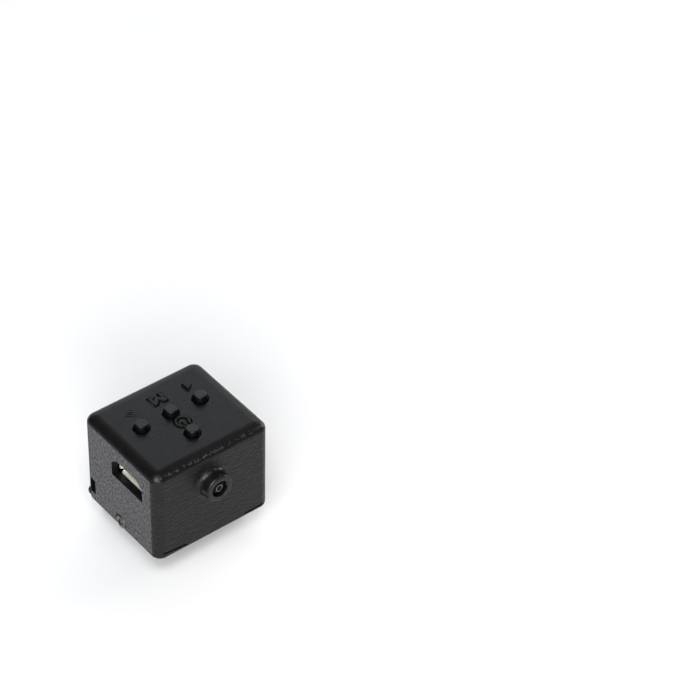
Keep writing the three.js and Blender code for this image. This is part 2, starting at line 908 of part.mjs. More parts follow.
function sensorBoardSolid() {
  const front = frontInside + slideClearance + sensorThickness;
  const low = [barrelX - sensorBoardWidth / 2, front, boardBottom - sensorBoardHeight];
  const high = [barrelX + sensorBoardWidth / 2, front + sensorBoardThickness, boardBottom];
  return slab(low, high);
}

// Screen

function paneSolid() {
  const width = viewWidth + 2 * paneMargin;
  const height = viewHeight + 2 * paneMargin;
  const outer = paneRebate - sideWall;
  const geometry = roundedPrism(width, height, viewCorner, outer - paneThickness, outer);
  facingRear(geometry).translate(0, rearFace, screenCentreZ);
  return toSolid(geometry);
}

// The panel's front glass stops above a ledge that carries the ribbon
function panelSolid() {
  const half = panelWidth / 2;
  const back = slab(
    [-half, panelBack, panelBottom],
    [half, rearInside - panelGlass, panelBottom + panelHeight],
  );
  const glass = slab(
    [-half, rearInside - panelGlass, panelBottom + panelLedge],
    [half, rearInside - slideClearance, panelBottom + panelHeight],
  );
  return back.add(glass);
}

// The ribbon hooks under the panel, rises behind it and bends forward into its plug
function ribbonPath() {
  const half = flexThickness / 2;
  const low = panelBottom - flexBend / 2;
  const rise = panelBack - flexBend;
  const level = boardBottom - displayPlugHeight / 2;
  const hook = (rearInside - panelGlass - flexBend / 2 - rise) / 2;
  const path = [[rise + 2 * hook, low]];
  for (let step = 1; step <= cornerSteps; step += 1) {
    const turn = (step / cornerSteps) * 2 * quarterTurn;
    path.push([rise + hook + hook * Math.cos(turn), low - (flexBend / 2) * Math.sin(turn)]);
  }
  for (let step = 0; step <= filletSteps; step += 1) {
    const turn = (step / filletSteps) * quarterTurn;
    path.push([
      rise - flexBend * (1 - Math.cos(turn)),
      level - flexBend * (1 - Math.sin(turn)),
    ]);
  }
  path.push([displayPlugRear + half, level]);
  return path;
}

function ribbonSolid() {
  const path = ribbonPath().map(([y, z]) => new THREE.Vector2(y, z));
  const half = flexThickness / 2;
  const sides = [[], []];
  path.forEach((point, index) => {
    const before = path[Math.max(index - 1, 0)];
    const after = path[Math.min(index + 1, path.length - 1)];
    const along = after.clone().sub(before).normalize();
    const across = new THREE.Vector2(-along.y, along.x).multiplyScalar(half);
    sides[0].push([point.x + across.x, point.y + across.y]);
    sides[1].unshift([point.x - across.x, point.y - across.y]);
  });
  return drawnAlongX([...sides[0], ...sides[1]], -flexWidth / 2, flexWidth / 2);
}

function displayPlugSolid() {
  const low = [-displayPlugWidth / 2, displayPlugFront, boardBottom - displayPlugHeight];
  return slab(low, [displayPlugWidth / 2, displayPlugRear, boardBottom]);
}

// Battery, its pad, leads and plug

function cellSolid() {
  const size = [cellLength, cellDepth, cellHeight];
  const geometry = filletedBlock(size, cellEdge, cellEdge / 2, cellEdge / 2, pouchSteps, pouchSteps);
  geometry.translate(cellCentreX, cellCentreY, cellBottom);
  return toSolid(geometry);
}

function padSolid() {
  const width = cellLength - 2 * padInset;
  const depth = cellDepth - 2 * padInset;
  return standingBox(width, depth, padThickness, cellCentreX, cellCentreY, padBottom);
}

function leadGeometry(side) {
  const startX = cellCentreX + cellLength / 2 + seatGap;
  const startZ = cellBottom + cellHeight / 2;
  const startY = cellCentreY + (side * leadPitch) / 2;
  const endY = batteryPlugY + (side * leadPitch) / 2;
  const endZ = boardBottom - batteryPlugHeight - seatGap;
  const points = [
    [startX, startY, startZ],
    [startX + leadBow, startY, startZ],
    [startX + leadBow, startY, startZ + leadBow],
    [startX + leadBow, (startY + endY) / 2, (startZ + endZ) / 2 + leadBow / 2],
    [batteryPlugX + leadBow, endY, endZ - leadBow],
    [batteryPlugX + leadBow, endY, endZ],
  ].map((point) => new THREE.Vector3(...point));
  const route = new THREE.CatmullRomCurve3(points, false, "centripetal");
  const section = new THREE.Shape();
  section.absarc(0, 0, leadDiameter / 2, 0, fullTurn, false);
  return new THREE.ExtrudeGeometry(section, {
    steps: wireSteps,
    extrudePath: route,
    curveSegments: wireSides / 2,
    bevelEnabled: false,
  });
}

function undersideBlock(length, width, height, x, y) {
  return standingBox(length, width, height, x, y, boardBottom - height);
}

// Materials

const finish = (color, roughness, metalness = 0) =>
  new THREE.MeshStandardMaterial({ color, roughness, metalness });
const materials = {
  casing: finish(0x3a3a3c, 0.55),
  button: finish(0x33363b, 0.45),
  switchPlastic: finish(0x1d1d1f, 0.5),
  steel: finish(0xb9b9b4, 0.35, 0.9),
  tinned: finish(0xd9d5c6, 0.3, 0.8),
  gold: finish(0xd0a850, 0.3, 0.9),
  foot: finish(0x2b2b2d, 0.5),
  board: finish(0x1d4f3a, 0.5),
  lens: finish(0xcfd6da, 0.08),
  pane: finish(0x20262c, 0.08),
  panel: finish(0x0d0f12, 0.15),
  ribbon: finish(0xb4711f, 0.45),
  cell: finish(0xb8bcc2, 0.4, 0.5),
  pad: finish(0x2a2a2a, 0.95),
  red: finish(0xb01c1c, 0.5),
  black: finish(0x151515, 0.5),
  plug: finish(0xe6e1d2, 0.5),
  chip: finish(0x17181a, 0.55),
  capacitor: finish(0x9c7a55, 0.5),
};

// Assembly

const meter = new THREE.Group();
const body = new THREE.Group();
body.position.set(0, -footSetback, bodyLift);
meter.add(body);

function place(group, name, shape, material) {
  const geometry = shape.isBufferGeometry ? shape : toGeometry(shape);
  const mesh = new THREE.Mesh(geometry, material);
  mesh.name = name;
  group.add(mesh);
}

place(meter, "shoe_foot", footSolid(), materials.foot);
["front", "rear"].forEach((end, index) => {
  place(meter, `foot_screw_${end}`, footScrewGeometry(footScrewPlaces()[index]), materials.steel);
});
place(body, "housing", housingSolid(), materials.casing);
place(body, "base_plate", basePlateSolid(), materials.casing);
place(body, "side_screw_left", sideScrewGeometry(-1), materials.steel);
place(body, "side_screw_right", sideScrewGeometry(1), materials.steel);
place(body, "main_board", mainBoardSolid(), materials.board);
place(body, "board_screw_front", boardScrewGeometry(postPlaces[0]), materials.steel);
place(body, "board_screw_rear", boardScrewGeometry(postPlaces[1]), materials.steel);
buttonPlaces.forEach((spot) => {
  place(body, `button_${spot.name}`, buttonSolid(spot), materials.button);
  place(body, `switch_cover_${spot.name}`, switchCoverSolid(spot), materials.steel);
  place(body, `switch_base_${spot.name}`, switchBaseSolid(spot), materials.switchPlastic);
  place(body, `snap_dome_${spot.name}`, domeSolid(spot), materials.steel);
});
place(body, "usb_shell", socketShellSolid(), materials.tinned);
place(body, "usb_insert", socketInsertSolid(), materials.switchPlastic);
for (let index = 0; index < contactCount; index += 1) {
  place(body, `usb_contact_${index + 1}`, contactSolid(index), materials.gold);
}
place(body, "sensor_lens", lensSolid(), materials.lens);
place(body, "light_sensor", sensorSolid(), materials.chip);
place(body, "sensor_board", sensorBoardSolid(), materials.board);
place(body, "display_window", paneSolid(), materials.pane);
place(body, "display_panel", panelSolid(), materials.panel);
place(body, "display_ribbon", ribbonSolid(), materials.ribbon);
place(body, "display_connector", displayPlugSolid(), materials.plug);
place(body, "battery_cell", cellSolid(), materials.cell);
place(body, "battery_pad", padSolid(), materials.pad);
place(body, "battery_lead_red", leadGeometry(1), materials.red);
place(body, "battery_lead_black", leadGeometry(-1), materials.black);
place(
  body,
  "battery_connector",
  undersideBlock(batteryPlugWidth, batteryPlugDepth, batteryPlugHeight, batteryPlugX, batteryPlugY),
  materials.plug,
);
place(
  body,
  "microcontroller",
  undersideBlock(controllerWidth, controllerWidth, controllerHeight, controllerX, controllerY),
  materials.chip,
);
place(
  body,
  "charger_chip",
  undersideBlock(smallChipLength, smallChipWidth, smallChipHeight, chargerX, chargerY),
  materials.chip,
);
place(
  body,
  "voltage_regulator",
  undersideBlock(smallChipWidth, smallChipLength, smallChipHeight, regulatorX, regulatorY),
  materials.chip,
);
["input", "output"].forEach((end, index) => {
  const x = capacitorX - index * capacitorPitch;
  place(
    body,
    `${end}_capacitor`,
    undersideBlock(capacitorWidth, capacitorLength, capacitorHeight, x, capacitorY),
    materials.capacitor,
  );
});

export default meter;
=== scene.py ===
"""The looks of a shoe mount light meter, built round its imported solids.

Outlines are in millimetres, and a mesh is made in metres. The body's own frame has its
underside at zero and its middle on the Z axis, with the barrel towards -Y.
"""

import json
import math

import bpy
from mathutils import Matrix, Vector


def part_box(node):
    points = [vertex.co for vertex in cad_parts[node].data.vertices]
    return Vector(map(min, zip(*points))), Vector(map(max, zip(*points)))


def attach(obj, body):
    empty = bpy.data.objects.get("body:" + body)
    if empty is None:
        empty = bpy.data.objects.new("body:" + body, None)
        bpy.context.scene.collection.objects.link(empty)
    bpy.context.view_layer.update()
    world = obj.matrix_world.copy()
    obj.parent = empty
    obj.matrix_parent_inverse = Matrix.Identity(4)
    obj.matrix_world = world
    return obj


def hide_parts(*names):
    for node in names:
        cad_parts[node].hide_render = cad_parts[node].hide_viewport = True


MM = 0.001
QUARTER = math.pi / 2

# The camera, solved from the photograph
CAMERA_PLACE = Vector((-0.185414, -0.266434, 0.318406))
CAMERA_RIGHT = Vector((0.7801, -0.6252, 0.0238))
CAMERA_UP = Vector((0.3965, 0.5234, 0.7543))
FOCAL_PIXELS = 2681
PHOTO_PIXELS = 700
SENSOR_WIDTH = 36
CLIP_START, CLIP_END = 0.01, 20

# Counts of sides and steps on round forms
ROUND_SIDES = 64
BARREL_SIDES = 96
SEAT_SIDES, SCREW_SIDES = 48, 48
POST_SIDES, BEAD_SIDES = 40, 40
HOLE_SIDES = 32
ROUND_STEPS = 14
VIEW_STEPS, BEAD_STEPS, DOME_STEPS = 8, 8, 8
EDGE_STEPS = 5
CORNER_STEPS = 4

# Casing
BODY_DEPTH = 20.4
WALL = 1.3
CORNER = 1.8
TOP_FILLET, TOP_INSET = 1.45, 2.1
LEAST_CORNER = 0.05
BOTTOM_FILLET = 0.8
EDGE_BREAK = 0.05
OVERRUN = 0.6

# Barrel
BARREL_X, BARREL_Z = -0.4, 12.35
BARREL_RADIUS = 2.55
BARREL_LENGTH = 2.4
BARREL_FLARE = 1.0
BARREL_TIP_ROUND = 0.4
BARREL_BORE = 1.55
LENS_SEAT = 1.0
SENSOR_BORE = 1.1

# Openings
WELL_RADIUS = 1.5
SLOT_LENGTH, SLOT_HEIGHT = 8.5, 3.8
SLOT_FLOOR, SLOT_MIDDLE = 11.0, -2.05
SLOT_BEVEL_LENGTH, SLOT_BEVEL_HEIGHT = 1.5, 1.2
SEAT_RADIUS = 1.45
SEAT_DEPTH = 0.7
SIDE_SCREW_Y, SIDE_SCREW_Z = 0.2, 1.45
SIDE_HOLE_RADIUS = 0.82
VIEW_WIDTH, VIEW_HEIGHT = 12.4, 7.4
VIEW_CORNER = 0.6
VIEW_BEVEL = 0.4
VIEW_MIDDLE = 8.0
PANE_MARGIN = 1.1
PANE_REBATE = 0.7

# Open stretches of the seam along the front wall's foot, each from one (x, z) to another
SEAM_STRETCHES = (
    ((-10.3, 1.3), (-5.5, 0.8)),
    ((6.2, 0.75), (10.4, 0.85)),
)
SEAM_GAP, SEAM_DEPTH = 0.34, 0.5

# Strap eye
EYE_FLOOR, EYE_HEIGHT = 2.3, 2.9
EYE_MOUTH, EYE_BAR = 1.4, 1.35
EYE_REACH, EYE_WALL = 2.95, 0.9
EYE_FLOOR_WALL = 0.7
BEAD_RADIUS, BEAD_HEIGHT = 0.75, 1.7
BEAD_PROUD, BEAD_FLOOR = 0.4, 0.5
BEAD_POLE = 0.02

# Posts under the roof
POST_RADIUS = 1.6
POST_DROP = 2.5
POST_OFFSET = 1.5

# Raised signs on the top
SIGN_HEIGHT = 0.25
SIGN_STROKE = 0.47
SIGN_EDGE, SIGN_EDGE_STEPS = 0.03, 2
MOAT_WIDTH, MOAT_DEPTH = 0.3, 0.45
LEFT_ARROW = [(-4.97, 6.17), (-6.44, 5.22), (-4.87, 4.27)]
LEFT_ARROW_HEIGHT, LEFT_ARROW_STEPS = 0.3, 4
RIGHT_ARROW = [(5.4, 6.09), (5.58, 4.2), (6.94, 5.05)]
RIGHT_ARROW_HEIGHT, RIGHT_ARROW_ROUND = 0.45, 0.16
RING_MIDDLE = (0.3, -1.44)
RING_RADIUS, RING_STROKE = 1.16, 0.35
RING_GAP, RING_STEPS = math.radians(62), 40
BAR_START, BAR_END = 0.15, 1.46

# The letter, with its inner corners given in strokes and its valley as a share of its height
LETTER_MIDDLE, LETTER_WIDTH, LETTER_HEIGHT = (0.17, 6.38), 2.5, 2.07
SHOULDER_STROKES, CROTCH_STROKES = 1.25, 2.1
VALLEY_SHARE, VALLEY_DROP_STROKES, VALLEY_RISE_STROKES = 0.22, 0.2, 1.5

# Buttons and lens
BUTTONS = ("left", "menu", "right", "power")
BUTTON_RADIUS, BUTTON_ROUND = 1.05, 0.16
FLANGE_THICKNESS, FLANGE_DROP = 0.4, 0.05
NUB_RADIUS = 0.35
LENS_CROWN, LENS_EDGE, LENS_STEPS = 0.4, 0.05, 13
APERTURE_RADIUS, APERTURE_LINE = 0.6, 0.16

# Screws, whose cross recess is given in shares of the head's radius
SHANK_BREAK = 0.3
SIDE_DOME, SIDE_HEAD_HEIGHT, SIDE_SHANK = 0.3, 0.9, 0.7
SIDE_RECESS = 0.55
FOOT_SHANK, FOOT_CONE, FOOT_RIM, FOOT_EDGE = 1.0, 1.1, 0.12, 0.06
FOOT_RECESS = 0.7
WIDE_ARM, WIDE_BLADE = 1.3, 0.32
NARROW_ARM, NARROW_BLADE = 0.7, 0.18

# Charging socket
SHEET = 0.25
SOCKET_BEVEL, SOCKET_ROUND = 0.95, 0.3
LIP_FLARE, LIP_LENGTH, LIP_INSET = 0.25, 0.5, 0.4
LIP_STEPS, LIP_OVERLAP = 6, 0.2

# Least angles in degrees of a sign's rounded edges and of any piece's crisp edges
SIGN_EDGE_ANGLE, CREASE_ANGLE = 40, 32

# A colour mix node's sockets: its share and its two colours, and its result
MIX_SOCKETS, MIX_RESULT = (0, 6, 7), 2

# Noise values between which a look changes, and its roughness there as shares of the given one
NOISE_RANGE = (0.3, 0.7)
GLOSSY_SHARE, DULL_SHARE = 0.85, 1.2

# Glass
PANE_COLOR, PANE_SPECULAR = (0.2, 0.22, 0.24, 1.0), 0.12
PANE_GRAIN, PANE_ROUGHNESS = 1.5, (0.02, 0.05)
PANE_TRANSMISSION, PANE_INDEX = 0.9, 1.5
# The lens's dark glass, and the pale ring painted round its aperture as a highlight
LENS_COLOR, GLINT_RING_COLOR = (0.002, 0.002, 0.0025, 1.0), (0.1, 0.1, 0.1, 1.0)
LENS_SPECULAR = 0.04
LENS_GRAIN, LENS_ROUGHNESS = 0.4, (0.04, 0.09)

# Printed nylon, with its grains and the depths of its relief in millimetres
PRINT_COLOR = (0.005, 0.005, 0.0054)
PRINT_ROUGHNESS, PRINT_WALL_ROUGHNESS = 0.3, 0.44
PRINT_SPECULAR = 0.205
COARSE_GRAIN = {"grain": 0.36, "stretch": (1, 0.85, 1.7), "rough": 0.6}
LAYER_GRAIN = {"grain": 0.42, "stretch": (1.9, 1.9, 0.9), "rough": 0.6}
RIPPLE_GRAIN = {"grain": 0.75, "stretch": (3, 3, 1), "detail": 1.0}
RASTER_GRAIN = {"grain": 0.16, "stretch": (9, 1, 1), "detail": 2.0}
# Grain of the painted highlight specks on the front edge
GLINT_SPECK_GRAIN = {"grain": 0.38, "detail": 2.0}
CLOUD_GRAIN = {"grain": 2.6, "detail": 2.0}
COARSE_DEPTH, LAYER_DEPTH, RIPPLE_DEPTH, RASTER_DEPTH = 0.2, 0.2, 0.14, 0.03
PLAIN_SHADES = (0.75, 1.3)
# The end walls' real coarse grain, in shades painted paler as if lit from the side
COARSE_RANGE, COARSE_LIT_SHADES = (0.38, 0.62), (1.6, 22.0)
# Painted highlights: the specks' noise range, then the pale shades of the specks and of the barrel's
# rim as shares of the print's colour
GLINT_SPECK_RANGE = (0.51, 0.63)
GLINT_SHADE, RIM_HIGHLIGHT_SHADE = 11.5, 2.5
ROOF_BLUR = 0.02
# The band before the barrel's tip face over which its painted highlight fades in
RIM_START, RIM_END = 0.06, 0.02

# Ranges of the parts of a printed face's normal, and of their product on a corner
UPRIGHT_RANGE = (0.1, 0.6)
ENDWAYS_RANGE = (0.985, 0.9995)
FRONT_EDGE_RANGE = (-0.38, -0.5)
EDGE_RISE_RANGE = (0.58, 0.9)
# The painted glint on the top's corners
CORNER_GLINT_RANGE, CORNER_GLINT_STRENGTH = (0.1, 0.12), 0.9

# Floor and world, with faint light above the horizon and pale light below it
FLOOR_REACH = 4.0
FLOOR_GRAIN, FLOOR_ROUGHNESS = 30.0, 0.7
FLOOR_SHADES = (0.94, 0.965)
HORIZON_RANGE = (-0.03, 0.0)
WORLD_BELOW, WORLD_ABOVE = 0.75, 0.02

# Area lights: azimuth and elevation in degrees, size in metres, power in watts, colour
LIGHT_DISTANCE = 0.9
LIGHT_TARGET = Vector((0, 0, 0.01))
COOL, PLAIN, WARM = (0.93, 0.96, 1.0), (1.0, 1.0, 1.0), (1.0, 0.96, 0.93)
LIGHTS = {
    "back_wide": (60, 26, (1.5, 0.68), 2.45, COOL),
    "back_middle": (50, 35, (0.9, 0.45), 1.35, COOL),
    "left": (180, 35, (0.6, 0.5), 0.74, COOL),
    "left_high": (180, 65, (0.5, 0.4), 1.25, COOL),
    "left_front": (220, 30, (0.6, 0.4), 4.3, PLAIN),
    "front_low": (245, 22, (0.6, 0.3), 4.5, PLAIN),
    "front_middle": (230, 60, (0.6, 0.4), 0.54, PLAIN),
    "front_high": (250, 70, (0.5, 0.4), 2.0, PLAIN),
    "right": (0, 45, (0.6, 0.5), 0.8, WARM),
    "right_low": (0, 14, (0.6, 0.25), 2.3, WARM),
}

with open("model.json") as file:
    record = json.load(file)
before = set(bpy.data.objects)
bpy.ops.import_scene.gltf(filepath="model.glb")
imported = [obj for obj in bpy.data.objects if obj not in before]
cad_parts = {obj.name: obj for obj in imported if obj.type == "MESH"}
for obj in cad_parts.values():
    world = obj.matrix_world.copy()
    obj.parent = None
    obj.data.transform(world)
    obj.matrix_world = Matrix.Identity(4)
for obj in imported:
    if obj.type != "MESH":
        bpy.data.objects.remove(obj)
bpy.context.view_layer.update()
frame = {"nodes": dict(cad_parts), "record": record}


# Meshes

def loft(rings):
    """A closed skin over rings of equal counts, with a flat face at each end."""
    count = len(rings[0])
    faces = [tuple(reversed(range(count)))]
    for index in range(len(rings) - 1):
        low = index * count
        for step in range(count):
            after = (step + 1) % count
            faces.append((low + step, low + after, low + count + after, low + count + step))
    last = (len(rings) - 1) * count
    faces.append(tuple(range(last, last + count)))
    return [point for ring in rings for point in ring], faces


def level(outline, height):
    """The outline as a ring of points at one height."""
    return [(x, y, height) for x, y in outline]


def prism(outline, bottom, top):
    return loft([level(outline, bottom), level(outline, top)])


def box(low, high):
    outline = [(low[0], low[1]), (high[0], low[1]), (high[0], high[1]), (low[0], high[1])]
    return prism(outline, low[2], high[2])


def circle(radius, sides):
    turns = [2 * math.pi * step / sides for step in range(sides)]
    return [(radius * math.cos(turn), radius * math.sin(turn)) for turn in turns]


def revolve(profile, sides=ROUND_SIDES):
    """A solid of revolution about Z from pairs of radius and height, with flat ends."""
    return loft([level(circle(radius, sides), height) for radius, height in profile])


def bar_outline(width, low, high):
    half = width / 2
    return [(-half, low), (half, low), (half, high), (-half, high)]


def quarter_round(radius, start, steps=ROUND_STEPS):
    """Offsets from the centre of a quarter arc that starts at an angle."""
    turns = [start + QUARTER * step / steps for step in range(steps + 1)]
    return [(radius * math.cos(turn), radius * math.sin(turn)) for turn in turns]


def rounded_rectangle(width, height, radius, steps=ROUND_STEPS):
    outline = []
    for corner in range(4):
        right = 1 if corner in (0, 3) else -1
        upper = 1 if corner < 2 else -1
        middle_x, middle_y = right * (width / 2 - radius), upper * (height / 2 - radius)
        for x, y in quarter_round(radius, corner * QUARTER, steps):
            outline.append((middle_x + x, middle_y + y))
    return outline


def grown(outline, distance):
    """An outline, given counter-clockwise, with each side moved outwards by a distance."""
    sides = []
    for index, (x, y) in enumerate(outline):
        next_x, next_y = outline[(index + 1) % len(outline)]
        along = Vector((next_x - x, next_y - y)).normalized()
        outwards = Vector((along.y, -along.x))
        sides.append((Vector((x, y)) + outwards * distance, along))
    corners = []
    for index, (start, along) in enumerate(sides):
        before, before_along = sides[index - 1]
        cross = before_along.x * along.y - before_along.y * along.x
        gap = start - before
        share = (gap.x * along.y - gap.y * along.x) / cross
        corners.append(tuple(before + before_along * share))
    return corners


def arc_corners(outline, radius):
    """The outline with each corner turned into a short arc."""
    made = []
    count = len(outline)
    for index in range(count):
        corner = Vector(outline[index])
        before = (Vector(outline[index - 1]) - corner).normalized() * radius
        after = (Vector(outline[(index + 1) % count]) - corner).normalized() * radius
        for step in range(CORNER_STEPS + 1):
            share = step / CORNER_STEPS
            start, end = corner + before * (1 - share), corner + after * share
            made.append(tuple(start.lerp(end, share)))
    return made


def mouth(outline, depth):
    """A tool for an opening whose rim, at height zero, has a small bevel."""
    wide = grown(outline, EDGE_BREAK)
    rings = [(outline, -depth), (outline, -EDGE_BREAK), (wide, 0), (wide, OVERRUN)]
    return loft([level(*ring) for ring in rings])


def round_mouth(radius, depth, edge=EDGE_BREAK, sides=ROUND_SIDES):
    wide = radius + edge
    return revolve([(radius, -depth), (radius, -edge), (wide, 0), (wide, OVERRUN)], sides)


# Objects

BODY_LOW, BODY_HIGH = [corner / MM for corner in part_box("housing")]
BODY_WIDTH = BODY_HIGH.x - BODY_LOW.x
BODY_HEIGHT = BODY_HIGH.z - BODY_LOW.z
BODY_PLACE = Matrix.Translation((0, BODY_HIGH.y - BODY_DEPTH / 2, BODY_LOW.z))
TO_FRONT = Matrix.Rotation(QUARTER, 4, "X")
TO_REAR = Matrix.Rotation(-QUARTER, 4, "X")
ALONG_X = Matrix(((0, 0, 1, 0), (1, 0, 0, 0), (0, 1, 0, 0), (0, 0, 0, 1)))
ALONG_MINUS_X = Matrix(((0, 0, -1, 0), (-1, 0, 0, 0), (0, 1, 0, 0), (0, 0, 0, 1)))
HALF_TURN = Matrix.Rotation(2 * QUARTER, 4, "Z")
ROOF_PLANE = BODY_HIGH.z
RIM_PLANE = BODY_HIGH.y - BODY_DEPTH - BARREL_LENGTH
LENS_MIDDLE = sum(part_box("sensor_lens"), Vector()) / 2


def shift(x, y, z):
    return Matrix.Translation((x, y, z))


def corners_of(node):
    """The low and the high corner of a CAD node, in millimetres."""
    return [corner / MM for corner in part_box(node)]


def new_piece(name, form, place=BODY_PLACE):
    """An object from vertices in millimetres and faces, set in its place."""
    vertices, faces = form
    mesh = bpy.data.meshes.new(name)
    mesh.from_pydata([place @ Vector(vertex) * MM for vertex in vertices], [], faces)
    mesh.validate()
    piece = bpy.data.objects.new(name, mesh)
    bpy.context.scene.collection.objects.link(piece)
    return piece


def settle(piece):
    """Turns the piece's modifiers into its mesh."""
    bpy.context.view_layer.update()
    graph = bpy.context.evaluated_depsgraph_get()
    mesh = bpy.data.meshes.new_from_object(piece.evaluated_get(graph), depsgraph=graph)
    old = piece.data
    piece.modifiers.clear()
    piece.data = mesh
    bpy.data.meshes.remove(old)
    mesh.name = piece.name


def combine(piece, tools, operation):
    for tool in tools:
        change = piece.modifiers.new("combine", "BOOLEAN")
        change.operation = operation
        change.solver = "EXACT"
        change.object = tool
        settle(piece)
        bpy.data.objects.remove(tool)


def cut(piece, tools):
    combine(piece, tools, "DIFFERENCE")


def add(piece, tools):
    combine(piece, tools, "UNION")


def round_edges(piece, width, steps, angle):
    bevel = piece.modifiers.new("edges", "BEVEL")
    bevel.width = width * MM
    bevel.segments = steps
    bevel.limit_method = "ANGLE"
    bevel.angle_limit = math.radians(angle)
    settle(piece)


def smooth(piece):
    """Smooth shading with crisp edges, where flat faces keep their own direction."""
    piece.data.shade_smooth()
    piece.data.set_sharp_from_angle(angle=math.radians(CREASE_ANGLE))
    weights = piece.modifiers.new("weights", "WEIGHTED_NORMAL")
    weights.keep_sharp = True
    settle(piece)


def dress(piece, body, slot, node):
    """Gives the piece its slot's look and rides it on its body, in the place of its node."""
    smooth(piece)
    piece.data.materials.clear()
    piece.data.materials.append(LOOKS[slot])
    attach(piece, body)
    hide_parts(node)


# Materials

class Look:
    """A node material, with short ways to add its nodes."""

    def __init__(self, name):
        self.material = bpy.data.materials.new(name)
        self.material.use_nodes = True
        self.tree = self.material.node_tree
        self.shader = self.tree.nodes["Principled BSDF"]
        self.place = self.node("TexCoord").outputs["Object"]

    def node(self, kind, inputs=None, **settings):
        made = self.tree.nodes.new("ShaderNode" + kind)
        for key, value in settings.items():
            setattr(made, key, value)
        for key, value in (inputs or {}).items():
            self.join(value, made.inputs[key])
        return made

    def join(self, value, socket):
        if isinstance(value, bpy.types.NodeSocket):
            self.tree.links.new(value, socket)
        else:
            socket.default_value = value

    def set(self, **values):
        for key, value in values.items():
            self.join(value, self.shader.inputs[key.replace("_", " ")])

    def noise(self, grain, detail=3.0, stretch=(1, 1, 1), rough=0.55):
        """Noise whose spots are about grain millimetres wide, longer where stretched."""
        scale = [1 / (grain * MM * share) for share in stretch]
        scaled = self.node("Mapping", {"Vector": self.place, "Scale": scale})
        inputs = {"Vector": scaled.outputs[0], "Scale": 1.0, "Detail": detail, "Roughness": rough}
        return self.node("TexNoise", inputs).outputs["Fac"]

    def math(self, operation, first, second=0.0, third=None):
        made = self.node("Math", {0: first, 1: second}, operation=operation)
        if third is not None:
            self.join(third, made.inputs[2])
        return made.outputs[0]

    def product(self, first, second):
        return self.math("MULTIPLY", first, second)

    def mean(self, first, second):
        return self.math("MULTIPLY_ADD", first, 0.5, self.product(second, 0.5))

    def spread(self, value, span, low=0.0, high=1.0):
        """Turns the span of the value into the one from low to high."""
        inputs = {0: value, 1: span[0], 2: span[1], 3: low, 4: high}
        return self.node("MapRange", inputs).outputs[0]

    def ramp(self, value, span, colors):
        """Colours over the span of a value."""
        made = self.node("ValToRGB", {"Fac": value})
        for element, position, color in zip(made.color_ramp.elements, span, colors):
            element.position = position
            element.color = (*color, 1.0)
        return made.outputs["Color"]

    def mix(self, share, first, second):
        """The first colour, turned into the second one where the share is high."""
        made = self.tree.nodes.new("ShaderNodeMix")
        made.data_type = "RGBA"
        for socket, value in zip(MIX_SOCKETS, (share, first, second)):
            self.join(value, made.inputs[socket])
        return made.outputs[MIX_RESULT]

    def bump(self, height, depth):
        return self.node("Bump", {"Height": height, "Distance": depth * MM}).outputs[0]


def shade_of(color, share):
    return tuple(min(channel * share, 1.0) for channel in color)


def shades_of(color, shares):
    return [shade_of(color, share) for share in shares]


def plain_look(name, color, roughness, grain=0.3, metallic=0.0, bump=0.01, spread=0.25, **sockets):
    """A finish with its own grain in colour, gloss and relief."""
    look = Look(name)
    spots = look.noise(grain)
    glossy, dull = roughness * GLOSSY_SHARE, min(roughness * DULL_SHARE, 1.0)
    look.set(
        Base_Color=look.ramp(spots, NOISE_RANGE, shades_of(color, (1 - spread, 1 + spread))),
        Roughness=look.spread(spots, NOISE_RANGE, glossy, dull),
        Metallic=metallic,
        Normal=look.bump(spots, bump),
        **sockets,
    )
    return look.material


def print_relief(look, coarse, layers, wall, endways):
    """The relief of a print in millimetres: end walls, then layers and ripples on every wall."""
    ripple = look.noise(**RIPPLE_GRAIN)
    relief = look.product(look.noise(**RASTER_GRAIN), RASTER_DEPTH)
    rows = ((layers, wall, LAYER_DEPTH), (ripple, wall, RIPPLE_DEPTH), (coarse, endways, COARSE_DEPTH))
    for height, mask, depth in rows:
        relief = look.math("ADD", relief, look.product(look.product(height, mask), depth))
    return relief


def print_painted_glints(look, side, front, rise, below_roof):
    """Painted highlights: pale specks along the front edge, and a pale painted glint on the top's
    corners.

    Side and rise are the sizes of the normal's X and Z, and front is its Y.
    """
    band = look.math("PINGPONG", look.spread(rise, EDGE_RISE_RANGE, 0.0, 2.0), 1.0)
    edge = look.product(look.spread(front, FRONT_EDGE_RANGE), band)
    # Painted highlight specks along the front edge's round
    painted_glints = look.product(edge, look.spread(look.noise(**GLINT_SPECK_GRAIN), GLINT_SPECK_RANGE))
    across = look.product(side, look.math("ABSOLUTE", front))
    # A painted glint on the top's corners
    corner_glint = look.spread(look.product(across, look.product(rise, rise)), CORNER_GLINT_RANGE, 0.0, CORNER_GLINT_STRENGTH)
    return look.math("MAXIMUM", painted_glints, look.product(corner_glint, below_roof))


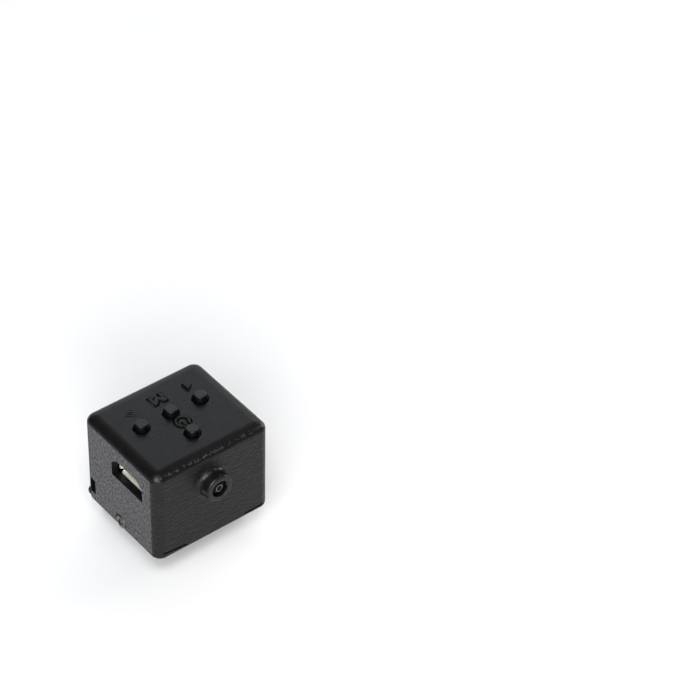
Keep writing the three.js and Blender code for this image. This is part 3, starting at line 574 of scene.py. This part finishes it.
def printed_look(name):
    """Printed nylon: coarse grain on the end walls, painted paler grey there as if lit from the side,
    wavy layers on the others, smooth level faces, and painted highlights on the front edge, the top's
    corners and the barrel's rim.
    """
    look = Look(name)
    normal = look.node("SeparateXYZ", {0: look.node("NewGeometry").outputs["Normal"]}).outputs
    place = look.node("SeparateXYZ", {0: look.place}).outputs
    side, rise = look.math("ABSOLUTE", normal["X"]), look.math("ABSOLUTE", normal["Z"])
    roof_span = [(ROOF_PLANE - ROOF_BLUR) * MM, (ROOF_PLANE + ROOF_BLUR) * MM]
    below_roof = look.spread(place["Z"], roof_span, 1.0, 0.0)
    wall = look.product(look.spread(rise, UPRIGHT_RANGE, 1.0, 0.0), below_roof)
    endways = look.product(look.spread(side, ENDWAYS_RANGE), below_roof)
    # The barrel's tip face, painted paler as a highlight
    rim = look.spread(place["Y"], [(RIM_PLANE + RIM_START) * MM, (RIM_PLANE + RIM_END) * MM])

    coarse, layers = look.noise(**COARSE_GRAIN), look.noise(**LAYER_GRAIN)
    clouds = look.mean(look.noise(**CLOUD_GRAIN), layers)
    plain = look.ramp(clouds, NOISE_RANGE, shades_of(PRINT_COLOR, PLAIN_SHADES))
    # End walls: real coarse grain, painted paler grey as if lit from the side
    lit_end_wall_grain = look.ramp(coarse, COARSE_RANGE, shades_of(PRINT_COLOR, COARSE_LIT_SHADES))
    # Pale colours of the painted highlights: the front edge's specks and corners, and the barrel's rim
    pale, painted_rim_highlight = ((*shade_of(PRINT_COLOR, share), 1.0) for share in (GLINT_SHADE, RIM_HIGHLIGHT_SHADE))
    # Painted highlights on the front edge and the top's corners
    painted_glints = print_painted_glints(look, side, normal["Y"], rise, below_roof)
    color = look.mix(painted_glints, look.mix(endways, plain, lit_end_wall_grain), pale)
    look.set(
        Base_Color=look.mix(rim, color, painted_rim_highlight),
        Roughness=look.spread(wall, (0.0, 1.0), PRINT_ROUGHNESS, PRINT_WALL_ROUGHNESS),
        Specular_IOR_Level=PRINT_SPECULAR,
        Normal=look.bump(print_relief(look, coarse, layers, wall, endways), 1.0),
    )
    return look.material


def pane_look():
    """Clear glass with a thin film of haze."""
    look = Look("pane_glass")
    haze = look.noise(PANE_GRAIN, detail=2.0)
    look.set(
        Base_Color=PANE_COLOR,
        Roughness=look.spread(haze, NOISE_RANGE, *PANE_ROUGHNESS),
        Transmission_Weight=PANE_TRANSMISSION,
        IOR=PANE_INDEX,
        Specular_IOR_Level=PANE_SPECULAR,
    )
    return look.material


def lens_look():
    """Dark coated glass with a pale ring painted round its aperture as a highlight."""
    look = Look("lens_glass")
    offset = look.node("VectorMath", {0: look.place, 1: LENS_MIDDLE}, operation="SUBTRACT")
    flat = look.node("VectorMath", {0: offset.outputs[0], 1: (1, 0, 1)}, operation="MULTIPLY")
    reach = look.node("VectorMath", {0: flat.outputs[0]}, operation="LENGTH").outputs["Value"]
    # A pale ring round the aperture, a painted highlight
    ring = look.math("COMPARE", reach, APERTURE_RADIUS * MM, APERTURE_LINE * MM / 2)
    haze = look.noise(LENS_GRAIN, detail=2.0)
    look.set(
        Base_Color=look.mix(ring, LENS_COLOR, GLINT_RING_COLOR),
        Roughness=look.spread(haze, NOISE_RANGE, *LENS_ROUGHNESS),
        Specular_IOR_Level=LENS_SPECULAR,
    )
    return look.material


LOOKS = {
    "casing_plastic": printed_look("printed_nylon"),
    "foot_plastic": printed_look("printed_foot"),
    "button_plastic": plain_look(
        "button_cap", (0.002, 0.0027, 0.0042), 0.32, grain=0.12, bump=0.006, spread=0.15,
        Specular_IOR_Level=0.35),
    "screw_steel": plain_look(
        "zinc_steel", (0.13, 0.125, 0.12), 0.24, grain=0.1, metallic=1.0, bump=0.02),
    "switch_steel": plain_look(
        "stamped_steel", (0.6, 0.6, 0.58), 0.32, grain=0.2, metallic=1.0, bump=0.004),
    "switch_plastic": plain_look("switch_moulding", (0.012, 0.012, 0.013), 0.5, grain=0.2),
    "tinned_steel": plain_look(
        "tinned_sheet", (0.92, 0.89, 0.78), 0.4, grain=0.25, metallic=0.5, bump=0.006, spread=0.1),
    "gold_contact": plain_look(
        "gold_plating", (0.75, 0.52, 0.2), 0.25, grain=0.1, metallic=1.0, bump=0.002, spread=0.1),
    "clear_lens": lens_look(),
    "chip_resin": plain_look("chip_resin", (0.012, 0.012, 0.013), 0.55, grain=0.08, bump=0.006),
    "circuit_board": plain_look("solder_mask", (0.01, 0.07, 0.035), 0.35, grain=0.8, spread=0.3),
    "screen_pane": pane_look(),
    "screen_panel": plain_look(
        "panel_glass", (0.006, 0.007, 0.01), 0.12, grain=2.0, bump=0.001, spread=0.2),
    "ribbon_film": plain_look(
        "amber_film", (0.45, 0.16, 0.015), 0.35, grain=0.5, bump=0.004, spread=0.2),
    "connector_plastic": plain_look(
        "connector_nylon", (0.75, 0.71, 0.6), 0.45, grain=0.4, bump=0.005, spread=0.1),
    "battery_pouch": plain_look(
        "foil_pouch", (0.48, 0.5, 0.53), 0.35, grain=1.2, metallic=0.7, bump=0.05, spread=0.12),
    "foam_pad": plain_look("foam", (0.02, 0.02, 0.02), 0.95, grain=0.25, bump=0.12, spread=0.4),
    "red_lead": plain_look("red_insulation", (0.42, 0.015, 0.015), 0.4, grain=0.4, spread=0.15),
    "black_lead": plain_look("black_insulation", (0.01, 0.01, 0.01), 0.4, grain=0.4, spread=0.2),
    "capacitor_ceramic": plain_look(
        "ceramic", (0.32, 0.19, 0.09), 0.4, grain=0.15, bump=0.004, spread=0.2),
}


def dress_nodes():
    """Every CAD node takes the look of its own material slot."""
    for row in frame["record"]["subparts"]:
        mesh = frame["nodes"][row["node"]].data
        mesh.materials.clear()
        mesh.materials.append(LOOKS[row["material_slot"]])


# Casing

def casing_outside():
    def ring(inset, height):
        corner = max(CORNER - inset, LEAST_CORNER)
        outline = rounded_rectangle(BODY_WIDTH - 2 * inset, BODY_DEPTH - 2 * inset, corner)
        return level(outline, height)

    turns = [QUARTER * step / ROUND_STEPS for step in range(ROUND_STEPS + 1)]
    rings = []
    for turn in turns:
        rings.append(ring(BOTTOM_FILLET * (1 - math.sin(turn)), BOTTOM_FILLET * (1 - math.cos(turn))))
    for turn in turns:
        height = BODY_HEIGHT - TOP_FILLET * (1 - math.sin(turn))
        rings.append(ring(TOP_INSET * (1 - math.cos(turn)), height))
    return new_piece("casing_shell", loft(rings))


def casing_inside():
    outline = rounded_rectangle(BODY_WIDTH - 2 * WALL, BODY_DEPTH - 2 * WALL, CORNER - WALL)
    return new_piece("tool", prism(outline, -OVERRUN, BODY_HEIGHT - WALL))


def on_front(x, z):
    return BODY_PLACE @ shift(x, -BODY_DEPTH / 2, z) @ TO_FRONT


def barrel():
    profile = [(BARREL_RADIUS + BARREL_FLARE, -WALL)]
    for step in range(ROUND_STEPS + 1):
        turn = QUARTER * step / ROUND_STEPS
        away = BARREL_FLARE * (1 - math.sin(turn))
        profile.append((BARREL_RADIUS + away, BARREL_FLARE * (1 - math.cos(turn))))
    middle_radius = BARREL_RADIUS - BARREL_TIP_ROUND
    middle_height = BARREL_LENGTH - BARREL_TIP_ROUND
    for x, z in quarter_round(BARREL_TIP_ROUND, 0, EDGE_STEPS):
        profile.append((middle_radius + x, middle_height + z))
    return new_piece("tool", revolve(profile, BARREL_SIDES), on_front(BARREL_X, BARREL_Z))


def barrel_bores():
    wide = BARREL_BORE + EDGE_BREAK
    bore = [
        (BARREL_BORE, BARREL_LENGTH - LENS_SEAT),
        (BARREL_BORE, BARREL_LENGTH - EDGE_BREAK),
        (wide, BARREL_LENGTH),
        (wide, BARREL_LENGTH + OVERRUN),
    ]
    narrow = [(SENSOR_BORE, -WALL - OVERRUN), (SENSOR_BORE, BARREL_LENGTH)]
    place = on_front(BARREL_X, BARREL_Z)
    return [new_piece("tool", revolve(profile), place) for profile in (bore, narrow)]


def slot_tool():
    half = SLOT_LENGTH / 2
    outline = [
        (-half, 0),
        (half, 0),
        (half, SLOT_HEIGHT - SLOT_BEVEL_HEIGHT),
        (half - SLOT_BEVEL_LENGTH, SLOT_HEIGHT),
        (SLOT_BEVEL_LENGTH - half, SLOT_HEIGHT),
        (-half, SLOT_HEIGHT - SLOT_BEVEL_HEIGHT),
    ]
    place = BODY_PLACE @ shift(-BODY_WIDTH / 2, SLOT_MIDDLE, SLOT_FLOOR) @ ALONG_MINUS_X
    return new_piece("tool", mouth(outline, WALL + OVERRUN), place)


def side_screw_tools(side):
    place = BODY_PLACE @ shift(side * BODY_WIDTH / 2, SIDE_SCREW_Y, SIDE_SCREW_Z)
    place = place @ Matrix.Rotation(side * QUARTER, 4, "Y")
    seat = round_mouth(SEAT_RADIUS, SEAT_DEPTH, EDGE_BREAK / 2, SEAT_SIDES)
    hole = revolve([(SIDE_HOLE_RADIUS, -WALL - OVERRUN), (SIDE_HOLE_RADIUS, OVERRUN)], HOLE_SIDES)
    return [new_piece("tool", form, place) for form in (seat, hole)]


def eye_block():
    """The solid corner that the strap eye is cut through."""
    left, rear = -BODY_WIDTH / 2, BODY_DEPTH / 2
    low = (left + EYE_WALL, rear - EYE_BAR - EYE_MOUTH - EYE_WALL, EYE_FLOOR - EYE_FLOOR_WALL)
    high = (left + EYE_REACH + EYE_WALL, rear - EYE_WALL, EYE_FLOOR + EYE_HEIGHT + EYE_WALL)
    return new_piece("tool", box(low, high))


def eye_tools():
    left, rear = -BODY_WIDTH / 2, BODY_DEPTH / 2
    outline = bar_outline(EYE_MOUTH, 0, EYE_HEIGHT)
    from_left = BODY_PLACE @ shift(left, rear - EYE_BAR - EYE_MOUTH / 2, EYE_FLOOR) @ ALONG_MINUS_X
    from_rear = BODY_PLACE @ shift(left + EYE_REACH - EYE_MOUTH / 2, rear, EYE_FLOOR) @ TO_REAR
    return [
        new_piece("tool", mouth(outline, EYE_REACH), from_left),
        new_piece("tool", mouth(outline, EYE_BAR + EYE_MOUTH), from_rear @ HALF_TURN),
    ]


def eye_bead():
    """The bead that stands proud of the rear left corner under the strap eye."""
    reach = CORNER + BEAD_PROUD - BEAD_RADIUS
    turns = [QUARTER * step / BEAD_STEPS for step in range(BEAD_STEPS + 1)]
    profile = [(BEAD_POLE, 0)]
    for turn in turns[1:]:
        profile.append((BEAD_RADIUS * math.sin(turn), BEAD_RADIUS * (1 - math.cos(turn))))
    for turn in turns[:-1]:
        profile.append((BEAD_RADIUS * math.cos(turn), BEAD_HEIGHT - BEAD_RADIUS * (1 - math.sin(turn))))
    diagonal = math.sqrt(0.5) * reach
    x = -BODY_WIDTH / 2 + CORNER - diagonal
    y = BODY_DEPTH / 2 - CORNER + diagonal
    return new_piece("tool", revolve(profile, BEAD_SIDES), BODY_PLACE @ shift(x, y, BEAD_FLOOR))


def view_tools():
    place = BODY_PLACE @ shift(0, BODY_DEPTH / 2, VIEW_MIDDLE) @ TO_REAR
    bevel, margin = 2 * VIEW_BEVEL, 2 * PANE_MARGIN
    opening = rounded_rectangle(VIEW_WIDTH, VIEW_HEIGHT, VIEW_CORNER, VIEW_STEPS)
    wide_corner = VIEW_CORNER + VIEW_BEVEL
    wide = rounded_rectangle(VIEW_WIDTH + bevel, VIEW_HEIGHT + bevel, wide_corner, VIEW_STEPS)
    window = loft([
        level(opening, -WALL - OVERRUN),
        level(opening, -VIEW_BEVEL),
        level(wide, 0),
        level(wide, OVERRUN),
    ])
    seat = rounded_rectangle(VIEW_WIDTH + margin, VIEW_HEIGHT + margin, VIEW_CORNER, VIEW_STEPS)
    rebate = prism(seat, -WALL - OVERRUN, PANE_REBATE - WALL)
    return [new_piece("tool", form, place) for form in (window, rebate)]


def roof_posts():
    x = BODY_WIDTH / 2 - WALL - POST_OFFSET
    y = BODY_DEPTH / 2 - WALL - POST_OFFSET
    roof = BODY_HEIGHT - WALL
    post = revolve([(POST_RADIUS, roof - POST_DROP), (POST_RADIUS, roof + WALL / 2)], POST_SIDES)
    places = [(right * x, rear * y) for right in (-1, 1) for rear in (-1, 1)]
    return [new_piece("tool", post, BODY_PLACE @ shift(*place, 0)) for place in places]


def seam_tools():
    tools = []
    for start, end in SEAM_STRETCHES:
        outline = [start, end, (end[0], end[1] + SEAM_GAP), (start[0], start[1] + SEAM_GAP)]
        tools.append(new_piece("tool", prism(outline, -SEAM_DEPTH, OVERRUN), on_front(0, 0)))
    return tools


def well_tools():
    tools = []
    for name in BUTTONS:
        low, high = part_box("button_" + name)
        middle = (low + high) / (2 * MM)
        place = shift(middle.x, middle.y, ROOF_PLANE)
        tools.append(new_piece("tool", round_mouth(WELL_RADIUS, WALL + OVERRUN), place))
    return tools


# Raised signs on the top, where the letter and the ring face a reader behind the meter

def sign(outline, place, height):
    piece = new_piece("sign", prism(outline, -WALL / 2, height), BODY_PLACE @ place)
    round_edges(piece, SIGN_EDGE, SIGN_EDGE_STEPS, SIGN_EDGE_ANGLE)
    return piece


def moat(outline, place):
    """A tool for the shallow groove round a raised sign."""
    groove = prism(grown(outline, MOAT_WIDTH), -MOAT_DEPTH, OVERRUN)
    return new_piece("tool", groove, BODY_PLACE @ place)


def facing_rear(middle):
    return shift(*middle, BODY_HEIGHT) @ HALF_TURN


def letter_outline(width, height, stroke):
    half = width / 2
    shoulder = stroke * SHOULDER_STROKES
    valley = height * VALLEY_SHARE
    crotch = height - CROTCH_STROKES * stroke
    return [
        (-half, 0),
        (-half + stroke, 0),
        (-half + stroke, crotch),
        (0, valley - stroke * VALLEY_DROP_STROKES),
        (half - stroke, crotch),
        (half - stroke, 0),
        (half, 0),
        (half, height),
        (half - shoulder, height),
        (0, valley + stroke * VALLEY_RISE_STROKES),
        (shoulder - half, height),
        (-half, height),
    ]


def ring_outline(radius, stroke, gap):
    """A ring of one stroke with a gap at its top."""
    start, end = QUARTER + gap / 2, QUARTER + 4 * QUARTER - gap / 2
    turns = [start + (end - start) * step / RING_STEPS for step in range(RING_STEPS + 1)]
    outer, inner = radius + stroke / 2, radius - stroke / 2
    there = [(outer * math.cos(turn), outer * math.sin(turn)) for turn in turns]
    back = [(inner * math.cos(turn), inner * math.sin(turn)) for turn in reversed(turns)]
    return there + back


def left_arrow(place):
    """A triangle in thin layers, each a step further from its second and third corners."""
    far, near, other = (Vector(corner) for corner in LEFT_ARROW)
    made = []
    for step in range(LEFT_ARROW_STEPS):
        share = step / LEFT_ARROW_STEPS
        outline = [tuple(far), tuple(near.lerp(far, share)), tuple(other.lerp(far, share))]
        height = LEFT_ARROW_HEIGHT * (step + 1) / LEFT_ARROW_STEPS
        made.append(new_piece("sign", prism(outline, -WALL / 2, height), BODY_PLACE @ place))
    return made


def sign_outlines():
    """The signs that have a groove round them, with their places."""
    return [
        (letter_outline(LETTER_WIDTH, LETTER_HEIGHT, SIGN_STROKE), facing_rear(LETTER_MIDDLE)),
        (ring_outline(RING_RADIUS, RING_STROKE, RING_GAP), facing_rear(RING_MIDDLE)),
        (bar_outline(RING_STROKE, BAR_START, BAR_END), facing_rear(RING_MIDDLE)),
    ]


def signs():
    top = shift(0, 0, BODY_HEIGHT)
    low = [sign(outline, place, SIGN_HEIGHT) for outline, place in sign_outlines()]
    arrow = sign(arc_corners(RIGHT_ARROW, RIGHT_ARROW_ROUND), top, RIGHT_ARROW_HEIGHT)
    return [*left_arrow(top), arrow, *low]


def casing():
    piece = casing_outside()
    cut(piece, [casing_inside(), *(moat(*row) for row in sign_outlines())])
    add(piece, [barrel(), eye_block(), eye_bead(), *roof_posts(), *signs()])
    tools = [*well_tools(), *barrel_bores(), slot_tool(), *eye_tools(), *view_tools(), *seam_tools()]
    for side in (-1, 1):
        tools += side_screw_tools(side)
    cut(piece, tools)
    dress(piece, "meter_body", "casing_plastic", "housing")


# Buttons, lens, screws and socket

def buttons():
    for name in BUTTONS:
        low, high = corners_of("button_" + name)
        middle = (low + high) / 2
        flange = (high.x - low.x) / 2
        flange_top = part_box("switch_base_" + name)[1].z / MM - FLANGE_DROP
        profile = [
            (NUB_RADIUS, low.z),
            (NUB_RADIUS, flange_top - FLANGE_THICKNESS),
            (flange, flange_top - FLANGE_THICKNESS),
            (flange, flange_top),
            (BUTTON_RADIUS, flange_top),
        ]
        for x, z in quarter_round(BUTTON_ROUND, 0, EDGE_STEPS):
            profile.append((BUTTON_RADIUS - BUTTON_ROUND + x, high.z - BUTTON_ROUND + z))
        piece = new_piece("cap_" + name, revolve(profile), shift(middle.x, middle.y, 0))
        dress(piece, name + "_button", "button_plastic", "button_" + name)


def lens():
    """A dome whose last ring stays half a step short of its pole."""
    low, high = corners_of("sensor_lens")
    radius = (high.x - low.x) / 2
    depth = high.y - low.y
    sphere = (radius * radius + LENS_CROWN * LENS_CROWN) / (2 * LENS_CROWN)
    spread = math.asin(radius / sphere)
    profile = [(radius - LENS_EDGE, 0), (radius, LENS_EDGE)]
    for step in range(LENS_STEPS):
        turn = spread * (1 - step / (LENS_STEPS - 0.5))
        profile.append((sphere * math.sin(turn), depth - sphere + sphere * math.cos(turn)))
    place = shift((low.x + high.x) / 2, high.y, (low.z + high.z) / 2) @ TO_FRONT
    piece = new_piece("lens_dome", revolve(profile), place)
    dress(piece, "meter_body", "clear_lens", "sensor_lens")


def cross_outline(arm, blade):
    """A cross, drawn as one of its four ends at a time, each a quarter turn further."""
    end, side = arm / 2, blade / 2
    corners = [(end, -side), (end, side), (side, side)]
    outline = []
    for _ in range(4):
        outline += corners
        corners = [(-y, x) for x, y in corners]
    return outline


def screw(name, profile, place, head_radius, depth):
    """A screw whose head's top is at height zero, with a tapered cross recess."""
    piece = new_piece("drive_" + name, revolve(profile, SCREW_SIDES), place)
    wide = cross_outline(head_radius * WIDE_ARM, head_radius * WIDE_BLADE)
    narrow = cross_outline(head_radius * NARROW_ARM, head_radius * NARROW_BLADE)
    recess = loft([level(narrow, -depth), level(wide, 0), level(wide, OVERRUN)])
    cut(piece, [new_piece("tool", recess, place)])
    dress(piece, "meter_body", "screw_steel", name)


def side_screws():
    for side, name in ((-1, "side_screw_left"), (1, "side_screw_right")):
        low, high = corners_of(name)
        head = (high.z - low.z) / 2
        length = high.x - low.x
        profile = [
            (SIDE_SHANK - SHANK_BREAK, -length),
            (SIDE_SHANK, -length + SHANK_BREAK),
            (SIDE_SHANK, -SIDE_HEAD_HEIGHT),
            (head, -SIDE_HEAD_HEIGHT),
            (head, -SIDE_DOME),
        ]
        for step in range(1, DOME_STEPS):
            turn = QUARTER * step / DOME_STEPS
            profile.append((head * math.cos(turn), -SIDE_DOME * (1 - math.sin(turn))))
        top = high.x if side > 0 else low.x
        place = shift(top, (low.y + high.y) / 2, (low.z + high.z) / 2)
        screw(name, profile, place @ Matrix.Rotation(side * QUARTER, 4, "Y"), head, SIDE_RECESS)


def foot_screws():
    for name in ("foot_screw_front", "foot_screw_rear"):
        low, high = corners_of(name)
        head = (high.x - low.x) / 2
        length = high.z - low.z
        profile = [
            (FOOT_SHANK - SHANK_BREAK, -length),
            (FOOT_SHANK, -length + SHANK_BREAK),
            (FOOT_SHANK, -FOOT_CONE),
            (head, -FOOT_RIM),
            (head, -FOOT_EDGE),
            (head - FOOT_EDGE, 0),
        ]
        place = shift((low.x + high.x) / 2, (low.y + high.y) / 2, low.z)
        screw(name, profile, place @ Matrix.Rotation(2 * QUARTER, 4, "X"), head, FOOT_RECESS)


def flared_lip(edge):
    """A lip of sheet that curves outwards, where edge gives its outline at a flare."""
    rings = []
    for step in range(LIP_STEPS + 1):
        share = step / LIP_STEPS
        depth = LIP_LENGTH * (1 + LIP_OVERLAP) * share
        flare = LIP_FLARE * (1 - share) ** 2
        rings.append([(x, y, depth) for x, y in edge(flare)])
    return loft(rings)


def socket():
    low, high = corners_of("usb_shell")
    half = (high.y - low.y) / 2 - LIP_FLARE
    height = high.z - low.z - LIP_FLARE
    depth = high.x - low.x
    outline = [
        (-half, 0),
        (half, 0),
        (half, height - SOCKET_BEVEL),
        (half - SOCKET_BEVEL, height),
        (SOCKET_BEVEL - half, height),
        (-half, height - SOCKET_BEVEL),
    ]
    place = shift(low.x, (low.y + high.y) / 2, low.z + LIP_FLARE) @ ALONG_X
    sleeve = prism(arc_corners(outline, SOCKET_ROUND), LIP_LENGTH, depth)
    inside = arc_corners(grown(outline, -SHEET), SOCKET_ROUND - SHEET / 2)
    hollow = prism(inside, 0, depth + OVERRUN)
    piece = new_piece("socket_sleeve", sleeve, place)
    cut(piece, [new_piece("tool", hollow, place)])

    def bottom_edge(flare):
        reach = half - LIP_INSET
        return [(-reach, -flare), (reach, -flare), (reach, SHEET - flare), (-reach, SHEET - flare)]

    def right_edge(flare):
        low_end, high_end = LIP_INSET, height - SOCKET_BEVEL
        outer, inner = half + flare, half + flare - SHEET
        return [(inner, low_end), (outer, low_end), (outer, high_end), (inner, high_end)]

    def left_edge(flare):
        return [(-x, y) for x, y in reversed(right_edge(flare))]

    edges = (bottom_edge, right_edge, left_edge)
    add(piece, [new_piece("tool", flared_lip(edge), place) for edge in edges])
    dress(piece, "meter_body", "tinned_steel", "usb_shell")


# Surroundings

def camera():
    data = bpy.data.cameras.new("camera")
    data.sensor_width = SENSOR_WIDTH
    data.lens = FOCAL_PIXELS / PHOTO_PIXELS * SENSOR_WIDTH
    data.clip_start, data.clip_end = CLIP_START, CLIP_END
    eye = bpy.data.objects.new("camera", data)
    back = CAMERA_RIGHT.cross(CAMERA_UP)
    rotation = Matrix((CAMERA_RIGHT, CAMERA_UP, back)).transposed()
    eye.matrix_world = Matrix.Translation(CAMERA_PLACE) @ rotation.to_4x4()
    bpy.context.scene.collection.objects.link(eye)
    bpy.context.scene.camera = eye


def area_light(name, azimuth, elevation, size, power, color):
    data = bpy.data.lights.new(name, "AREA")
    data.shape = "RECTANGLE"
    data.size, data.size_y = size
    data.energy = power
    data.color = color
    lamp = bpy.data.objects.new(name, data)
    turn, rise = math.radians(azimuth), math.radians(elevation)
    level_reach = math.cos(rise)
    towards = Vector((math.cos(turn) * level_reach, math.sin(turn) * level_reach, math.sin(rise)))
    lamp.location = LIGHT_TARGET + towards * LIGHT_DISTANCE
    lamp.rotation_euler = (-towards).to_track_quat("-Z", "Y").to_euler()
    bpy.context.scene.collection.objects.link(lamp)


def studio_world():
    world = bpy.data.worlds.new("studio")
    world.use_nodes = True
    nodes, links = world.node_tree.nodes, world.node_tree.links
    direction = nodes.new("ShaderNodeTexCoord").outputs["Generated"]
    axes = nodes.new("ShaderNodeSeparateXYZ")
    links.new(direction, axes.inputs[0])
    strength = nodes.new("ShaderNodeMapRange")
    links.new(axes.outputs["Z"], strength.inputs[0])
    for socket, value in zip(strength.inputs[1:5], (*HORIZON_RANGE, WORLD_BELOW, WORLD_ABOVE)):
        socket.default_value = value
    background = nodes["Background"]
    background.inputs["Color"].default_value = (1, 1, 1, 1)
    links.new(strength.outputs[0], background.inputs["Strength"])
    return world


def surroundings():
    scene = bpy.context.scene
    scene.view_settings.view_transform = "Standard"
    scene.world = studio_world()
    for name, values in LIGHTS.items():
        area_light(name, *values)


def floor():
    look = Look("floor")
    patches = look.noise(FLOOR_GRAIN)
    greys = [(shade, shade, shade) for shade in FLOOR_SHADES]
    look.set(Base_Color=look.ramp(patches, NOISE_RANGE, greys), Roughness=FLOOR_ROUGHNESS)
    mesh = bpy.data.meshes.new("floor")
    far = FLOOR_REACH
    corners = [(-far, -far, 0), (far, -far, 0), (far, far, 0), (-far, far, 0)]
    mesh.from_pydata(corners, [], [(0, 1, 2, 3)])
    mesh.materials.append(look.material)
    sheet = bpy.data.objects.new("floor", mesh)
    bpy.context.scene.collection.objects.link(sheet)


camera()
surroundings()
floor()
dress_nodes()
casing()
buttons()
lens()
side_screws()
foot_screws()
socket()

bpy.context.view_layer.update()
